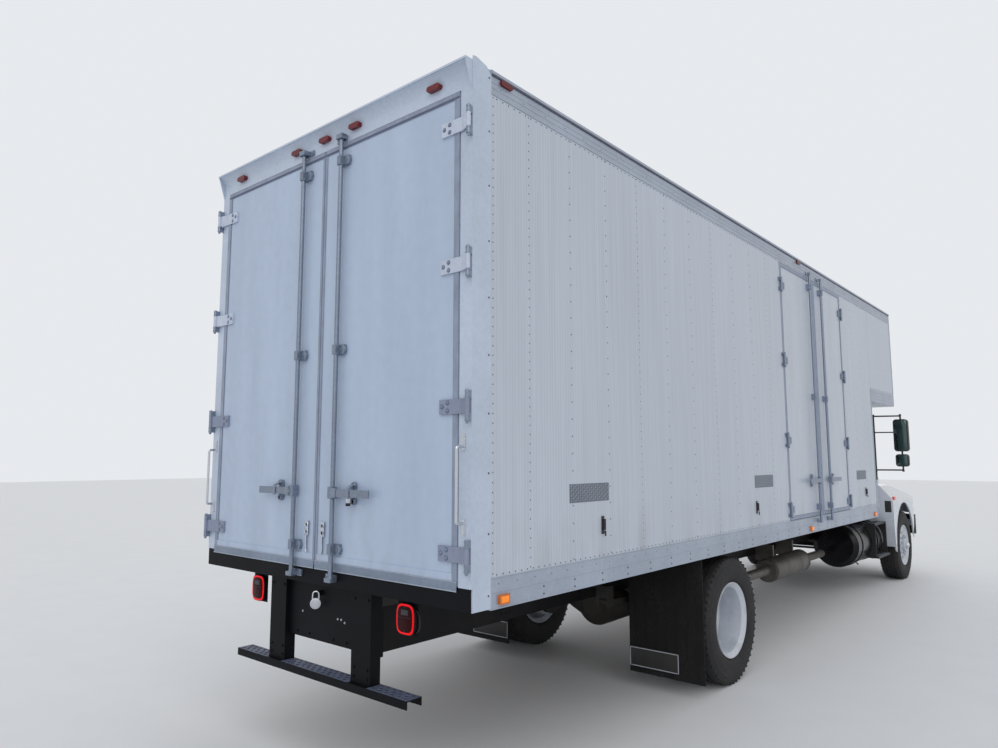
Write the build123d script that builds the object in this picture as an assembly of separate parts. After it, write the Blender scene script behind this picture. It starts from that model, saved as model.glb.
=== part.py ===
from build123d import *
import os

# Box truck with an attic body, twin rear doors and twin side doors.
# Millimetres. x runs forward from the outer faces of the rear doors, y to the left, z up from the road.

# Load body
BODY_WIDTH = 2591.0
MAIN_LENGTH = 7925.0
ATTIC_LENGTH = 1300.0
BODY_TOP = 3960.0
ATTIC_BOTTOM = 2580.0
FLOOR_TOP = 1180.0
WALL = 45.0
RAIL_PROUD = 4.0
RAIL_GROOVE = 3.0
DECK_THICKNESS = 35.0
ROOF_THICKNESS = 40.0
ROOF_CROWN_DROP = 5.0
TOP_RAIL_HEIGHT = 138.0
BOTTOM_RAIL_TOP = 1215.0
BOTTOM_RAIL_BOTTOM = 1055.0
ATTIC_RAIL_HEIGHT = 170.0
DRIP_PROUD = 8.0
BOW_DEPTH = 33.0
BOW_WIDTH = 45.0
BOW_PITCH = 610.0

# Floor frame under the deck
BEAM_HEIGHT = 75.0
BEAM_WIDTH = 60.0
BEAM_WEB = 10.0
BEAM_PITCH = 406.0
BEAM_FIRST_X = 180.0
SILL_HEIGHT = 110.0

# Chassis
REAR_AXLE_BACK = 4725.0
WHEELBASE = 6708.0
CHASSIS_HALF = 432.0
CHASSIS_DEPTH = 260.0
CHASSIS_FLANGE = 80.0
CHASSIS_PLATE = 8.0
CHASSIS_REAR_X = 122.0
CHASSIS_BEHIND_NOSE = 100.0

# Wheels
TYRE_RADIUS = 505.0
TYRE_WIDTH = 275.0
BEAD_RADIUS = 286.0
FLANGE_RADIUS = 299.0
BEAD_INSET = 24.0
RIM_FLANGE = 10.0
DUAL_Y = 980.0
DUAL_SPACING = 311.0
FRONT_WHEEL_Y = 1040.0
KINGPIN_Y = 860.0
STEER_ARM = 180.0
FRONT_SPINDLE = 35.0
REAR_SPINDLE = 44.0
STUD_RADIUS = 10.0

# Rear doors
POST_WIDTH = 87.0
POST_SIDE_DEPTH = 150.0
POST_DEPTH = 60.0
HEADER_HEIGHT = 157.0
DOOR_GAP = 5.0
MEETING_GAP = 8.0
DOOR_THICKNESS = 45.0
GASKET_WIDTH = 36.0
GASKET_PROUD = 5.0
BOTTOM_STRIP = 62.0
HINGE_X = -30.0
HINGE_INSET = 2.5
HINGE_RADIUS = 12.0
STRAP_HALF = 39.0
REAR_HINGE_SHARES = [0.926, 0.632, 0.346, 0.06]
REAR_ROD_Y = 200.0
ROD_RADIUS = 14.0
ROD_STAND_OFF = 32.0
HANDLE_Z = 1620.0
VISOR_REACH = 56.0

# Side doors
SIDE_DOOR_BACK = 1285.0
SIDE_DOOR_WIDTH = 2060.0
SIDE_ROD_OFFSET = 190.0
SIDE_HINGE_STAND_OFF = 20.0
SIDE_STRAP_HALF = 35.0
SIDE_HINGE_SHARES = [0.91, 0.612, 0.302, 0.039]

# Rear underride guard
STEP_HALF = 840.0
STEP_DEPTH = 110.0
STEP_BOTTOM = 510.0
STEP_TOP = 555.0
UPRIGHT_Y = 420.0
UPRIGHT_WIDTH = 170.0

# Cab
CAB_BEHIND_GAP = 255.0
CAB_LENGTH = 1040.0
CAB_BOTTOM = 1000.0
CAB_TOP = 2430.0
CAB_HALF = 1010.0
CAB_ROOF_HALF = 890.0
CAB_WALL = 60.0
CAB_ROUND = 70.0
CAB_DOOR_GAP = 8.0
BELT_Z = 1600.0
COWL_Z = 1630.0
WINDSCREEN_RUN = 360.0
GLASS_THICKNESS = 6.0
GLASS_DEPTH = 24.0

# Hood
HOOD_GAP = 25.0
HOOD_LENGTH = 1635.0
HOOD_BOTTOM = 975.0
HOOD_TOP = 1600.0
HOOD_HALF = 905.0
HOOD_NOSE_HALF = 640.0
HOOD_WALL = 20.0
HOOD_ROUND = 120.0
FENDER_ROUND = 60.0
FENDER_HALF = 1190.0
FENDER_CREASE = 1195.0
ARCH_RADIUS = 575.0
HOOD_PIVOT_Z = 955.0

# Front bumper
BUMPER_PROUD = 20.0
BUMPER_BOTTOM = 620.0
BUMPER_TOP = 920.0
BUMPER_HALF = 1185.0
BUMPER_PLATE = 8.0

# Tow eyes under the bumper
TOW_EYE_Y = 380.0
TOW_EYE_Z = 575.0
TOW_EYE_BORE = 20.0
TOW_EYE_RADIUS = 42.0
TOW_EYE_THICKNESS = 20.0

# Tank and battery box beside the frame rails
TANK_RADIUS = 290.0
TANK_OFF_RAIL = 30.0
TANK_Z = 650.0
TANK_LENGTH = 1270.0
BATTERY_OUT_Y = 960.0

# Clearances
SEAT = 0.3
SWING = 5.0

# Worked out from the sizes above
HALF = BODY_WIDTH / 2
SKIN_Y = HALF - RAIL_PROUD
LINER_Y = SKIN_Y - WALL
ATTIC_FRONT_X = MAIN_LENGTH + ATTIC_LENGTH
TOP_RAIL_BOTTOM = BODY_TOP - TOP_RAIL_HEIGHT
DOOR_TOP = BODY_TOP - HEADER_HEIGHT
CAB_REAR_X = MAIN_LENGTH + CAB_BEHIND_GAP
CAB_FRONT_X = CAB_REAR_X + CAB_LENGTH
WINDSCREEN_TOP_X = CAB_FRONT_X - WINDSCREEN_RUN
HOOD_REAR_X = CAB_FRONT_X + HOOD_GAP
HOOD_NOSE_X = HOOD_REAR_X + HOOD_LENGTH
HOOD_PIVOT_X = HOOD_NOSE_X - 30
BUMPER_FRONT_X = HOOD_NOSE_X + BUMPER_PROUD
TOW_EYE_X = HOOD_NOSE_X - 45
CHASSIS_FRONT_X = HOOD_NOSE_X - CHASSIS_BEHIND_NOSE
TANK_REAR_X = MAIN_LENGTH - 75
TANK_FRONT_X = TANK_REAR_X + TANK_LENGTH
REAR_AXLE_X = MAIN_LENGTH - REAR_AXLE_BACK
SIDE_DOOR_FRONT_X = MAIN_LENGTH - SIDE_DOOR_BACK
SIDE_DOOR_REAR_X = SIDE_DOOR_FRONT_X - SIDE_DOOR_WIDTH
DECK_BOTTOM = FLOOR_TOP - DECK_THICKNESS
BEAM_BOTTOM = DECK_BOTTOM - BEAM_HEIGHT
CHASSIS_TOP = BEAM_BOTTOM - SILL_HEIGHT
CHASSIS_BOTTOM = CHASSIS_TOP - CHASSIS_DEPTH
FRONT_AXLE_X = REAR_AXLE_X + WHEELBASE
BEARING_X = REAR_AXLE_X + 2400
CROSSMEMBER_X = [REAR_AXLE_X - 1900, REAR_AXLE_X - 750, REAR_AXLE_X + 850, BEARING_X, REAR_AXLE_X + 4100,
                 REAR_AXLE_X + 5250, CHASSIS_FRONT_X - 150]
ENGINE_REAR_X = FRONT_AXLE_X - 538
ENGINE_FRONT_X = FRONT_AXLE_X + 442
GEARBOX_REAR_X = ENGINE_REAR_X - 780
DOOR_OUTER_Y = HALF - POST_WIDTH - DOOR_GAP
HINGE_Y = HALF - HINGE_INSET
SIDE_DOOR_MIDDLE_X = (SIDE_DOOR_REAR_X + SIDE_DOOR_FRONT_X) / 2
SIDE_HINGE_Y = SKIN_Y + SIDE_HINGE_STAND_OFF
SILL_TOP = FLOOR_TOP - 2
SILL_DEPTH = 100.0
DOOR_BOTTOM = SILL_TOP + DOOR_GAP
SIDE_DOOR_BOTTOM = BOTTOM_RAIL_TOP + DOOR_GAP
REAR_HINGE_Z = [DOOR_BOTTOM + share * (DOOR_TOP - DOOR_BOTTOM) for share in REAR_HINGE_SHARES]
SIDE_HINGE_Z = [SIDE_DOOR_BOTTOM + share * (DOOR_TOP - SIDE_DOOR_BOTTOM) for share in SIDE_HINGE_SHARES]
ROD_GUIDE_Z = [DOOR_TOP - 123, (DOOR_TOP + DOOR_BOTTOM) / 2 - 13, DOOR_BOTTOM + 107]
CAB_HINGE_X = CAB_FRONT_X - 70
CAB_HINGE_Y = CAB_HALF + 8
CAB_HINGE_Z = [1130.0, 1450.0]
CORNER_X = MAIN_LENGTH - WALL
NOSE_POST_X = ATTIC_FRONT_X - 60
TANK_Y = -(CHASSIS_HALF + TANK_OFF_RAIL + TANK_RADIUS)
TANK_BAND_X = [TANK_REAR_X + 250, TANK_FRONT_X - 250]
SHIFT_X = -(BUMPER_FRONT_X - VISOR_REACH) / 2
PLACE = Location((SHIFT_X, 0, 0))


def block(x0, x1, y0, y1, z0, z1):
    """Box between two opposite corners."""
    middle = Pos((x0 + x1) / 2, (y0 + y1) / 2, (z0 + z1) / 2)
    return middle * Box(abs(x1 - x0), abs(y1 - y0), abs(z1 - z0))


def rod(axis, first, second, radius, start, end):
    """Round bar along one axis; first and second are its other two coordinates, in x, y, z order."""
    middle = (start + end) / 2
    bar = Cylinder(radius, abs(end - start))
    if axis == "x":
        return Pos(middle, first, second) * Rot(0, 90, 0) * bar
    if axis == "y":
        return Pos(first, middle, second) * Rot(90, 0, 0) * bar
    return Pos(first, second, middle) * bar


def strut(start, end, radius):
    """Round bar between two points."""
    run = Vector(*end) - Vector(*start)
    return extrude(Plane(origin=start, z_dir=run) * Circle(radius), amount=run.length)


def outline(points, axis, level, grow=0.0, corner=0.0):
    """Flat face across one axis; points hold the other two coordinates, in x, y, z order."""
    if axis == "x":
        plane = Plane(origin=(level, 0, 0), x_dir=(0, 1, 0), z_dir=(1, 0, 0))
    elif axis == "y":
        plane = Plane(origin=(0, level, 0), x_dir=(1, 0, 0), z_dir=(0, -1, 0))
    else:
        plane = Plane(origin=(0, 0, level), x_dir=(1, 0, 0), z_dir=(0, 0, 1))
    face = make_face(Polyline(*points, close=True))
    if corner:
        face = fillet(face.vertices(), corner)
    if grow:
        face = offset(face, amount=grow, kind=Kind.INTERSECTION)
    return plane * face


def prism(points, axis, start, end, grow=0.0, corner=0.0):
    """Straight body of one outline between two levels of its axis."""
    directions = {"x": (1, 0, 0), "y": (0, 1, 0), "z": (0, 0, 1)}
    low = min(start, end)
    face = outline(points, axis, low, grow, corner)
    return extrude(face, amount=abs(end - start), dir=directions[axis])


def turned(points, axis, centre):
    """Solid of revolution; points are (along the axis, radius) and centre lies on the axis."""
    cx, cy, cz = centre
    if axis == "x":
        ring = [(cx + along, cy, cz + radius) for along, radius in points]
        spindle = Axis((cx, cy, cz), (1, 0, 0))
    elif axis == "y":
        ring = [(cx, cy + along, cz + radius) for along, radius in points]
        spindle = Axis((cx, cy, cz), (0, 1, 0))
    else:
        ring = [(cx + radius, cy, cz + along) for along, radius in points]
        spindle = Axis((cx, cy, cz), (0, 0, 1))
    return revolve(make_face(Polyline(*ring, close=True)), axis=spindle)


def mirrored(shape):
    """The same shape on the other side of the truck's middle plane."""
    return mirror(shape, about=Plane.XZ)


def both(shape):
    """A shape and its mirror image."""
    return [shape, mirrored(shape)]


def joined(*shapes):
    """One body of several that touch."""
    body = shapes[0]
    for shape in shapes[1:]:
        body = body + shape
    return body


def save(name, *shapes):
    """Write one node's solids, moved so that the truck stands over the origin."""
    solids = [solid for shape in shapes for solid in shape.solids()]
    export_step(Compound(solids).moved(PLACE), f"parts/{name}.step")


# Chassis

def frame_rails():
    """Two channels, open to the inside."""
    inner = CHASSIS_HALF - CHASSIS_FLANGE
    web = CHASSIS_HALF - CHASSIS_PLATE
    section = [
        (CHASSIS_HALF, CHASSIS_BOTTOM),
        (CHASSIS_HALF, CHASSIS_TOP),
        (inner, CHASSIS_TOP),
        (inner, CHASSIS_TOP - CHASSIS_PLATE),
        (web, CHASSIS_TOP - CHASSIS_PLATE),
        (web, CHASSIS_BOTTOM + CHASSIS_PLATE),
        (inner, CHASSIS_BOTTOM + CHASSIS_PLATE),
        (inner, CHASSIS_BOTTOM),
    ]
    eye = rod("y", TOW_EYE_X, TOW_EYE_Z, TOW_EYE_RADIUS, TOW_EYE_Y, TOW_EYE_Y + TOW_EYE_THICKNESS)
    plate = block(CHASSIS_FRONT_X - 60, TOW_EYE_X, TOW_EYE_Y, TOW_EYE_Y + TOW_EYE_THICKNESS,
                  TOW_EYE_Z - 20, TOW_EYE_Z + TOW_EYE_RADIUS)
    neck = block(CHASSIS_FRONT_X - 60, CHASSIS_FRONT_X, TOW_EYE_Y, TOW_EYE_Y + TOW_EYE_THICKNESS,
                 TOW_EYE_Z, CHASSIS_BOTTOM)
    bore = rod("y", TOW_EYE_X, TOW_EYE_Z, TOW_EYE_BORE, TOW_EYE_Y - 5, TOW_EYE_Y + TOW_EYE_THICKNESS + 5)
    rail = prism(section, "x", CHASSIS_REAR_X, CHASSIS_FRONT_X)
    return both(joined(rail, eye, plate, neck, hood_pivot()) - bore)


def crossmembers():
    """Channels between the frame rails."""
    members = []
    reach = CHASSIS_HALF - CHASSIS_PLATE
    top = CHASSIS_TOP - CHASSIS_PLATE
    for x in CROSSMEMBER_X:
        section = [(x - 60, top - 110), (x - 60, top), (x + 60, top), (x + 60, top - 110),
                   (x + 50, top - 110), (x + 50, top - 10), (x - 50, top - 10), (x - 50, top - 110)]
        members.append(prism(section, "y", -reach, reach))
    return members


def hood_pivot():
    """Lug on the front of the left frame rail that holds the hood's tilt pin."""
    lug = block(CHASSIS_FRONT_X - 70, HOOD_PIVOT_X, 330, 352, HOOD_PIVOT_Z - 16, HOOD_PIVOT_Z + 16)
    foot = block(CHASSIS_FRONT_X - 70, CHASSIS_FRONT_X - 20, 330, 352, CHASSIS_TOP - 90, HOOD_PIVOT_Z)
    nose = rod("y", HOOD_PIVOT_X, HOOD_PIVOT_Z, 16, 330, 352)
    hole = rod("y", HOOD_PIVOT_X, HOOD_PIVOT_Z, 8 + SEAT, 320, 360)
    return joined(lug, foot, nose) - hole


def chassis_frame():
    """Both rails and the crossmembers riveted between them."""
    return joined(*frame_rails(), *crossmembers())


def rear_bumper():
    """Sill, two uprights, the plate between them and the step channel."""
    sill = block(0, SILL_DEPTH, -(HALF - 8 - SEAT), HALF - 8 - SEAT, BOTTOM_RAIL_BOTTOM + 10, SILL_TOP)
    inner_y = UPRIGHT_Y - UPRIGHT_WIDTH / 2
    outer_y = UPRIGHT_Y + UPRIGHT_WIDTH / 2
    uprights = both(block(28, 103, inner_y, outer_y, STEP_TOP, BOTTOM_RAIL_BOTTOM + 10))
    plate = block(60, 68, -inner_y, inner_y, CHASSIS_BOTTOM + 20, BOTTOM_RAIL_BOTTOM + 10)
    hasp = block(36, 60, -8, 8, CHASSIS_TOP + 30, CHASSIS_TOP + 60)
    channel = [(0, STEP_BOTTOM), (0, STEP_TOP), (STEP_DEPTH, STEP_TOP), (STEP_DEPTH, STEP_BOTTOM),
               (STEP_DEPTH - 6, STEP_BOTTOM), (STEP_DEPTH - 6, STEP_TOP - 6), (6, STEP_TOP - 6),
               (6, STEP_BOTTOM)]
    step = prism(channel, "y", -STEP_HALF, STEP_HALF)
    lamp_plates = both(block(94, SILL_DEPTH, 660, 820, 860, BOTTOM_RAIL_BOTTOM + 10))
    tie = block(103, CHASSIS_REAR_X - SEAT, -outer_y, outer_y, CHASSIS_BOTTOM, CHASSIS_TOP)
    return joined(sill, *uprights, plate, hasp, step, *lamp_plates, tie)


def tail_lamps():
    """Rounded lamp bodies on the plates under the sill."""
    lamp = fillet(block(45, 94, 678, 802, 870, 1020).edges().filter_by(Axis.X), 42)
    return both(lamp)


def spring(points, y):
    """Leaf spring of one outline with an eye at each end."""
    leaves = prism(points, "y", y - 38, y + 38)
    first = points[0]
    last = points[len(points) // 2 - 1]
    eyes = [rod("y", x, z + 14, 28, y - 38, y + 38) for x, z in (first, last)]
    return joined(leaves, *eyes)


def leaf_springs():
    """Four spring packs and the hangers that hold their eyes."""
    solids = []
    # axle x, half length, seat z, end z, pack thickness, middle y, inner face of the hanger
    rows = [
        (FRONT_AXLE_X, 700.0, 520.0, 640.0, 60.0, 392.0, 346.0),
        (REAR_AXLE_X, 720.0, 592.0, 650.0, 75.0, 500.0, CHASSIS_HALF + SEAT),
    ]
    for axle_x, reach, seat_z, end_z, pack, y, inner in rows:
        rise = end_z - seat_z
        low = [(axle_x - reach, end_z), (axle_x - reach / 2, seat_z + rise / 3), (axle_x - 90, seat_z),
               (axle_x + 90, seat_z), (axle_x + reach / 2, seat_z + rise / 3), (axle_x + reach, end_z)]
        high = [(axle_x + reach, end_z + 26), (axle_x + reach / 2, seat_z + rise / 3 + pack * 0.7),
                (axle_x + 110, seat_z + pack), (axle_x - 110, seat_z + pack),
                (axle_x - reach / 2, seat_z + rise / 3 + pack * 0.7), (axle_x - reach, end_z + 26)]
        solids += both(spring(low + high, y))
        for x in (axle_x - reach, axle_x + reach):
            top = CHASSIS_BOTTOM if inner < CHASSIS_HALF else CHASSIS_BOTTOM + 90
            cheek_in = block(x - 40, x + 40, inner, y - 38 - SEAT, end_z - 25, top - SEAT)
            cheek_out = block(x - 40, x + 40, y + 38 + SEAT, y + 50, end_z - 25, top - SEAT)
            roof = block(x - 40, x + 40, inner, y + 50, end_z + 14 + 28 + SEAT, top - SEAT)
            solids += both(joined(cheek_in, cheek_out, roof))
    return solids


def rear_axle():
    """Banjo housing with its pinion nose, tubes, spring saddles and spindles."""
    x, z = REAR_AXLE_X, TYRE_RADIUS
    tube = rod("y", x, z, 70, -600, 600)
    bowl = turned([(-170, 0), (-170, 110), (-95, 205), (95, 205), (160, 120), (160, 0)], "x", (x, 0, z))
    shoulders = turned([(-330, 70), (-330, 82), (-170, 150), (170, 150), (330, 82), (330, 70)], "y", (x, 0, z))
    nose = turned([(150, 0), (150, 105), (330, 75), (330, 0)], "x", (x, 0, z + 20))
    flange = rod("x", 0, z + 20, 70, x + 330, x + 350)
    saddles = both(block(x - 85, x + 85, 460, 540, z, 592))
    brakes = both(rod("y", x, z, 190, 560, 600))
    spindles = both(rod("y", x, z, REAR_SPINDLE, 600, 900))
    return joined(tube, shoulders, bowl, nose, flange, *saddles, *brakes, *spindles)


def front_axle():
    """Dropped beam with the bosses that take the kingpins."""
    x, z = FRONT_AXLE_X, TYRE_RADIUS
    half = [(KINGPIN_Y, z - 55), (KINGPIN_Y - 60, z - 55), (700, 405), (640, 390)]
    top = [(640, 490), (710, 500), (KINGPIN_Y - 60, z + 55), (KINGPIN_Y, z + 55)]
    points = half + [(-y, low) for y, low in reversed(half)] + [(-y, high) for y, high in reversed(top)] + top
    beam = prism(points, "x", x - 45, x + 45)
    grooves = [block(x + side * 45, x + side * 18, -600, 600, 415, 465) for side in (-1, 1)]
    bosses = both(rod("z", x, KINGPIN_Y, 38, z - 55, z + 55))
    ends = both(block(x - 50, x + 50, KINGPIN_Y, KINGPIN_Y + 80, z - 60, z + 60))
    saddles = both(block(x - 85, x + 85, 354, 430, 480, 520))
    pins = both(rod("z", x, KINGPIN_Y, 18 + SEAT, z - 70, z + 70))
    body = beam
    for groove in grooves:
        body = body - groove
    for end in ends:
        body = body - end
    body = joined(body, *bosses, *saddles)
    for pin in pins:
        body = body - pin
    return body


def engine():
    """Plain block for the engine and gearbox, and the radiator ahead of it."""
    motor = block(ENGINE_REAR_X, ENGINE_FRONT_X, -300, 300, 760, 1380)
    box = turned([(0, 0), (0, 120), (600, 210), (780, 260), (780, 0)], "x", (GEARBOX_REAR_X, 0, 760))
    flange = rod("x", 0, 745, 55, GEARBOX_REAR_X - 40, GEARBOX_REAR_X)
    feet = both(block(ENGINE_REAR_X + 380, ENGINE_REAR_X + 480, 300, CHASSIS_HALF - CHASSIS_PLATE - SEAT, 860,
                      CHASSIS_TOP - 20))
    radiator = block(ENGINE_FRONT_X + 100, ENGINE_FRONT_X + 190, -400, 400, CHASSIS_TOP + SEAT, 1350)
    pipe = block(ENGINE_FRONT_X, ENGINE_FRONT_X + 100, -60, 60, 1100, 1160)
    return joined(motor, box, flange, *feet, radiator, pipe)


def driveline():
    """Two propeller shafts and the bearing between them, one row per shaft end."""
    bearing_x = BEARING_X
    level = 745.0
    pinion_x = REAR_AXLE_X + 350 + SEAT
    front = rod("x", 0, level, 45, bearing_x, GEARBOX_REAR_X - 40 - SEAT)
    run = bearing_x - pinion_x
    drop = level - TYRE_RADIUS - 20
    length = (run ** 2 + drop ** 2) ** 0.5
    angle = degrees_of(drop, run)
    middle = Pos((bearing_x + pinion_x) / 2, 0, level - drop / 2)
    rear = middle * Rot(0, 90 - angle, 0) * Cylinder(45, length - 30)
    joints = [Pos(bearing_x - 20, 0, level) * Sphere(58), Pos(pinion_x + 59, 0, level - drop) * Sphere(58)]
    cap = rod("x", 0, level - drop, 60, pinion_x, pinion_x + 40)
    collar = rod("x", 0, level, 80, bearing_x + 20, bearing_x + 80)
    hanger = block(bearing_x + 25, bearing_x + 75, -60, 60, level, CHASSIS_TOP - 118 - SEAT * 2)
    return joined(front, rear, *joints, cap, collar, hanger)


def degrees_of(rise, run):
    """Slope in degrees."""
    return Vector(run, rise, 0).get_angle(Vector(1, 0, 0))


def fuel_tank():
    """Round tank with domed ends on the right and the strap brackets that carry it."""
    ends = [(0, 0), (0, TANK_RADIUS - 60), (30, TANK_RADIUS), (TANK_FRONT_X - TANK_REAR_X - 30, TANK_RADIUS),
            (TANK_FRONT_X - TANK_REAR_X, TANK_RADIUS - 60), (TANK_FRONT_X - TANK_REAR_X, 0)]
    tank = turned(ends, "x", (TANK_REAR_X, TANK_Y, TANK_Z))
    for x in TANK_BAND_X:
        band = rod("x", TANK_Y, TANK_Z, TANK_RADIUS + 6, x - 30, x + 30)
        web = block(x - 30, x + 30, -(CHASSIS_HALF + 60), -(CHASSIS_HALF + SEAT), TANK_Z - 120, CHASSIS_TOP - 20)
        tank = joined(tank, band, web)
    return tank


def battery_box():
    """Rounded box on the left rail and the air reservoir behind it."""
    box = block(TANK_FRONT_X - 640, TANK_FRONT_X, CHASSIS_HALF + SEAT, BATTERY_OUT_Y, 430, 880)
    box = fillet(box.edges().filter_by(Axis.X), 45)
    rear_x = TANK_REAR_X - 500
    reservoir = turned([(0, 0), (0, 90), (25, 125), (875, 125), (900, 90), (900, 0)], "x", (rear_x, 600, 800))
    band = block(rear_x + 350, rear_x + 410, CHASSIS_HALF + SEAT, 600, 740, 860)
    return [box, joined(reservoir, band)]


def cab_steps():
    """Two treads and their side brackets under each cab door."""
    y_in, y_out = BATTERY_OUT_Y + SEAT, BATTERY_OUT_Y + 160
    x0, x1 = TANK_FRONT_X - 560, TANK_FRONT_X + 60
    upper = block(x0, x1, y_in, y_out - 30, 880, 905)
    lower = block(x0, x1, y_in, y_out, 430, 455)
    cheeks = [block(x, x + 12, y_in, y_out - 30, 430, 905) for x in (x0, x1 - 12)]
    left = joined(upper, lower, *cheeks)
    tank = rod("x", TANK_Y, TANK_Z, TANK_RADIUS + SEAT, x0 - 60, x1 + 20)
    bands = [rod("x", TANK_Y, TANK_Z, TANK_RADIUS + 6 + SEAT, x - 31, x + 31) for x in TANK_BAND_X]
    right = mirrored(left) - tank
    for band in bands:
        right = right - band
    return [left, right]


def exhaust():
    """Muffler under the right rail with its pipes and hanger."""
    y, z = -640.0, 560.0
    rear_x = BEARING_X + 50
    muffler = turned([(0, 0), (0, 110), (20, 130), (1080, 130), (1100, 110), (1100, 0)], "x", (rear_x, y, z))
    inlet = rod("x", y, z, 50, rear_x + 1100, TANK_REAR_X - 250)
    outlet = rod("x", y, z, 50, REAR_AXLE_X + 1300, rear_x)
    hangers = [block(x, x + 40, y, -(CHASSIS_HALF + SEAT), z + 80, z + 260) for x in (rear_x + 200, rear_x + 850)]
    return joined(muffler, inlet, outlet, *hangers)


def front_bumper():
    """Channel bent back at its ends, on two arms from the frame rails."""
    back = BUMPER_FRONT_X - CHASSIS_FRONT_X - SWING
    outer = [(BUMPER_FRONT_X - 290, BUMPER_HALF), (BUMPER_FRONT_X - 200, BUMPER_HALF),
             (BUMPER_FRONT_X - 30, BUMPER_HALF - 200), (BUMPER_FRONT_X, BUMPER_HALF - 420)]
    rim = outer + [(x, -y) for x, y in reversed(outer)]
    inner = [(BUMPER_FRONT_X - back, -(BUMPER_HALF - 230)), (BUMPER_FRONT_X - back, BUMPER_HALF - 230)]
    bar = prism(rim + inner, "z", BUMPER_BOTTOM, BUMPER_TOP)
    hollow_rim = [(BUMPER_FRONT_X - 300, BUMPER_HALF - BUMPER_PLATE),
                  (BUMPER_FRONT_X - 204, BUMPER_HALF - BUMPER_PLATE),
                  (BUMPER_FRONT_X - 37, BUMPER_HALF - 205),
                  (BUMPER_FRONT_X - BUMPER_PLATE, BUMPER_HALF - 421)]
    hollow = hollow_rim + [(x, -y) for x, y in reversed(hollow_rim)]
    cavity = prism(hollow, "z", BUMPER_BOTTOM + BUMPER_PLATE, BUMPER_TOP - BUMPER_PLATE)
    arms = both(block(CHASSIS_FRONT_X - 90, BUMPER_FRONT_X - BUMPER_PLATE, CHASSIS_HALF + SEAT,
                      CHASSIS_HALF + 20, CHASSIS_BOTTOM + 20, BUMPER_TOP - BUMPER_PLATE))
    return joined(bar - cavity, *arms)


def mud_flaps():
    """Rubber sheets behind the twin wheels, hung from a floor beam."""
    beam = (REAR_AXLE_X - TYRE_RADIUS - 60 - BEAM_FIRST_X) // BEAM_PITCH
    x = BEAM_FIRST_X + beam * BEAM_PITCH
    points = [(640, 120), (HALF - 12, 120), (HALF - 12, BOTTOM_RAIL_BOTTOM - 5), (HALF - 50, BOTTOM_RAIL_BOTTOM - 5),
              (HALF - 50, BEAM_BOTTOM), (640, BEAM_BOTTOM)]
    return both(prism(points, "x", x - 4, x + 4))


# Load body

def floor_deck():
    """Cargo floor between the walls."""
    return block(SILL_DEPTH + SEAT, CORNER_X - SEAT, -(LINER_Y - SEAT), LINER_Y - SEAT, DECK_BOTTOM, FLOOR_TOP)


def floor_frame():
    """Cross beams at one pitch, joined by the two long sills that rest on the frame rails."""
    half, web = BEAM_WIDTH / 2, BEAM_WEB / 2
    sills = both(block(SILL_DEPTH + 30, CORNER_X - 30, CHASSIS_HALF - CHASSIS_FLANGE, CHASSIS_HALF,
                       CHASSIS_TOP, BEAM_BOTTOM))
    frame = joined(*sills)
    count = int((CORNER_X - 60 - BEAM_FIRST_X) // BEAM_PITCH) + 1
    reach = LINER_Y + 4 - SEAT
    for index in range(count):
        x = BEAM_FIRST_X + index * BEAM_PITCH
        section = [(x - half, BEAM_BOTTOM), (x + half, BEAM_BOTTOM), (x + half, BEAM_BOTTOM + 8),
                   (x + web, BEAM_BOTTOM + 8), (x + web, DECK_BOTTOM - 8), (x + half, DECK_BOTTOM - 8),
                   (x + half, DECK_BOTTOM), (x - half, DECK_BOTTOM), (x - half, DECK_BOTTOM - 8),
                   (x - web, DECK_BOTTOM - 8), (x - web, BEAM_BOTTOM + 8), (x - half, BEAM_BOTTOM + 8)]
        frame = frame + prism(section, "y", -reach, reach)
    return frame


def rear_header():
    """Header over the rear doors, coved out to the lip of its visor."""
    top = BODY_TOP - 14
    lip = -VISOR_REACH
    bottom = DOOR_TOP + DOOR_GAP + 1
    with BuildSketch(Plane.XZ) as section:
        with BuildLine():
            Polyline((0, top - 62), (0, bottom), (POST_DEPTH, bottom), (POST_DEPTH, BODY_TOP), (lip, BODY_TOP - 2),
                     (lip, top), (lip + 8, top))
            RadiusArc((lip + 8, top), (0, top - 62), VISOR_REACH * 1.6)
        make_face()
    return extrude(section.sketch, amount=HALF - 4, both=True)


def rear_frame():
    """Posts, coved header with its visor and the end gussets."""
    inner = HALF - POST_WIDTH
    post = block(0, POST_DEPTH, inner, HALF, SILL_TOP + SEAT, BODY_TOP)
    side = prism([(0, SILL_TOP + SEAT), (12, SILL_TOP + SEAT), (12, BOTTOM_RAIL_BOTTOM + 8),
                  (POST_SIDE_DEPTH, BOTTOM_RAIL_BOTTOM + 8), (POST_SIDE_DEPTH, BODY_TOP - 35),
                  (POST_SIDE_DEPTH - 40, BODY_TOP + 5), (25, BODY_TOP + 25), (0, BODY_TOP + 20)],
                 "y", SKIN_Y, HALF)
    foot = block(12, SILL_DEPTH, HALF - 8, HALF, BOTTOM_RAIL_BOTTOM + 8, SILL_TOP + SEAT)
    cove_top = BODY_TOP - 14
    gusset = prism([(0, DOOR_TOP - 23), (-VISOR_REACH + 4, cove_top), (0, cove_top)], "y", HALF - 12, HALF - 4)
    return joined(rear_header(), *both(joined(post, side, foot, gusset)))


def wall_outline():
    """Outline of a side wall above the bottom rails, as (x, z) points."""
    attic_z = ATTIC_BOTTOM + ATTIC_RAIL_HEIGHT
    return [(POST_DEPTH + SEAT, BOTTOM_RAIL_TOP), (CORNER_X, BOTTOM_RAIL_TOP), (CORNER_X, attic_z),
            (NOSE_POST_X, attic_z), (NOSE_POST_X, TOP_RAIL_BOTTOM), (POST_DEPTH + SEAT, TOP_RAIL_BOTTOM)]


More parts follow.
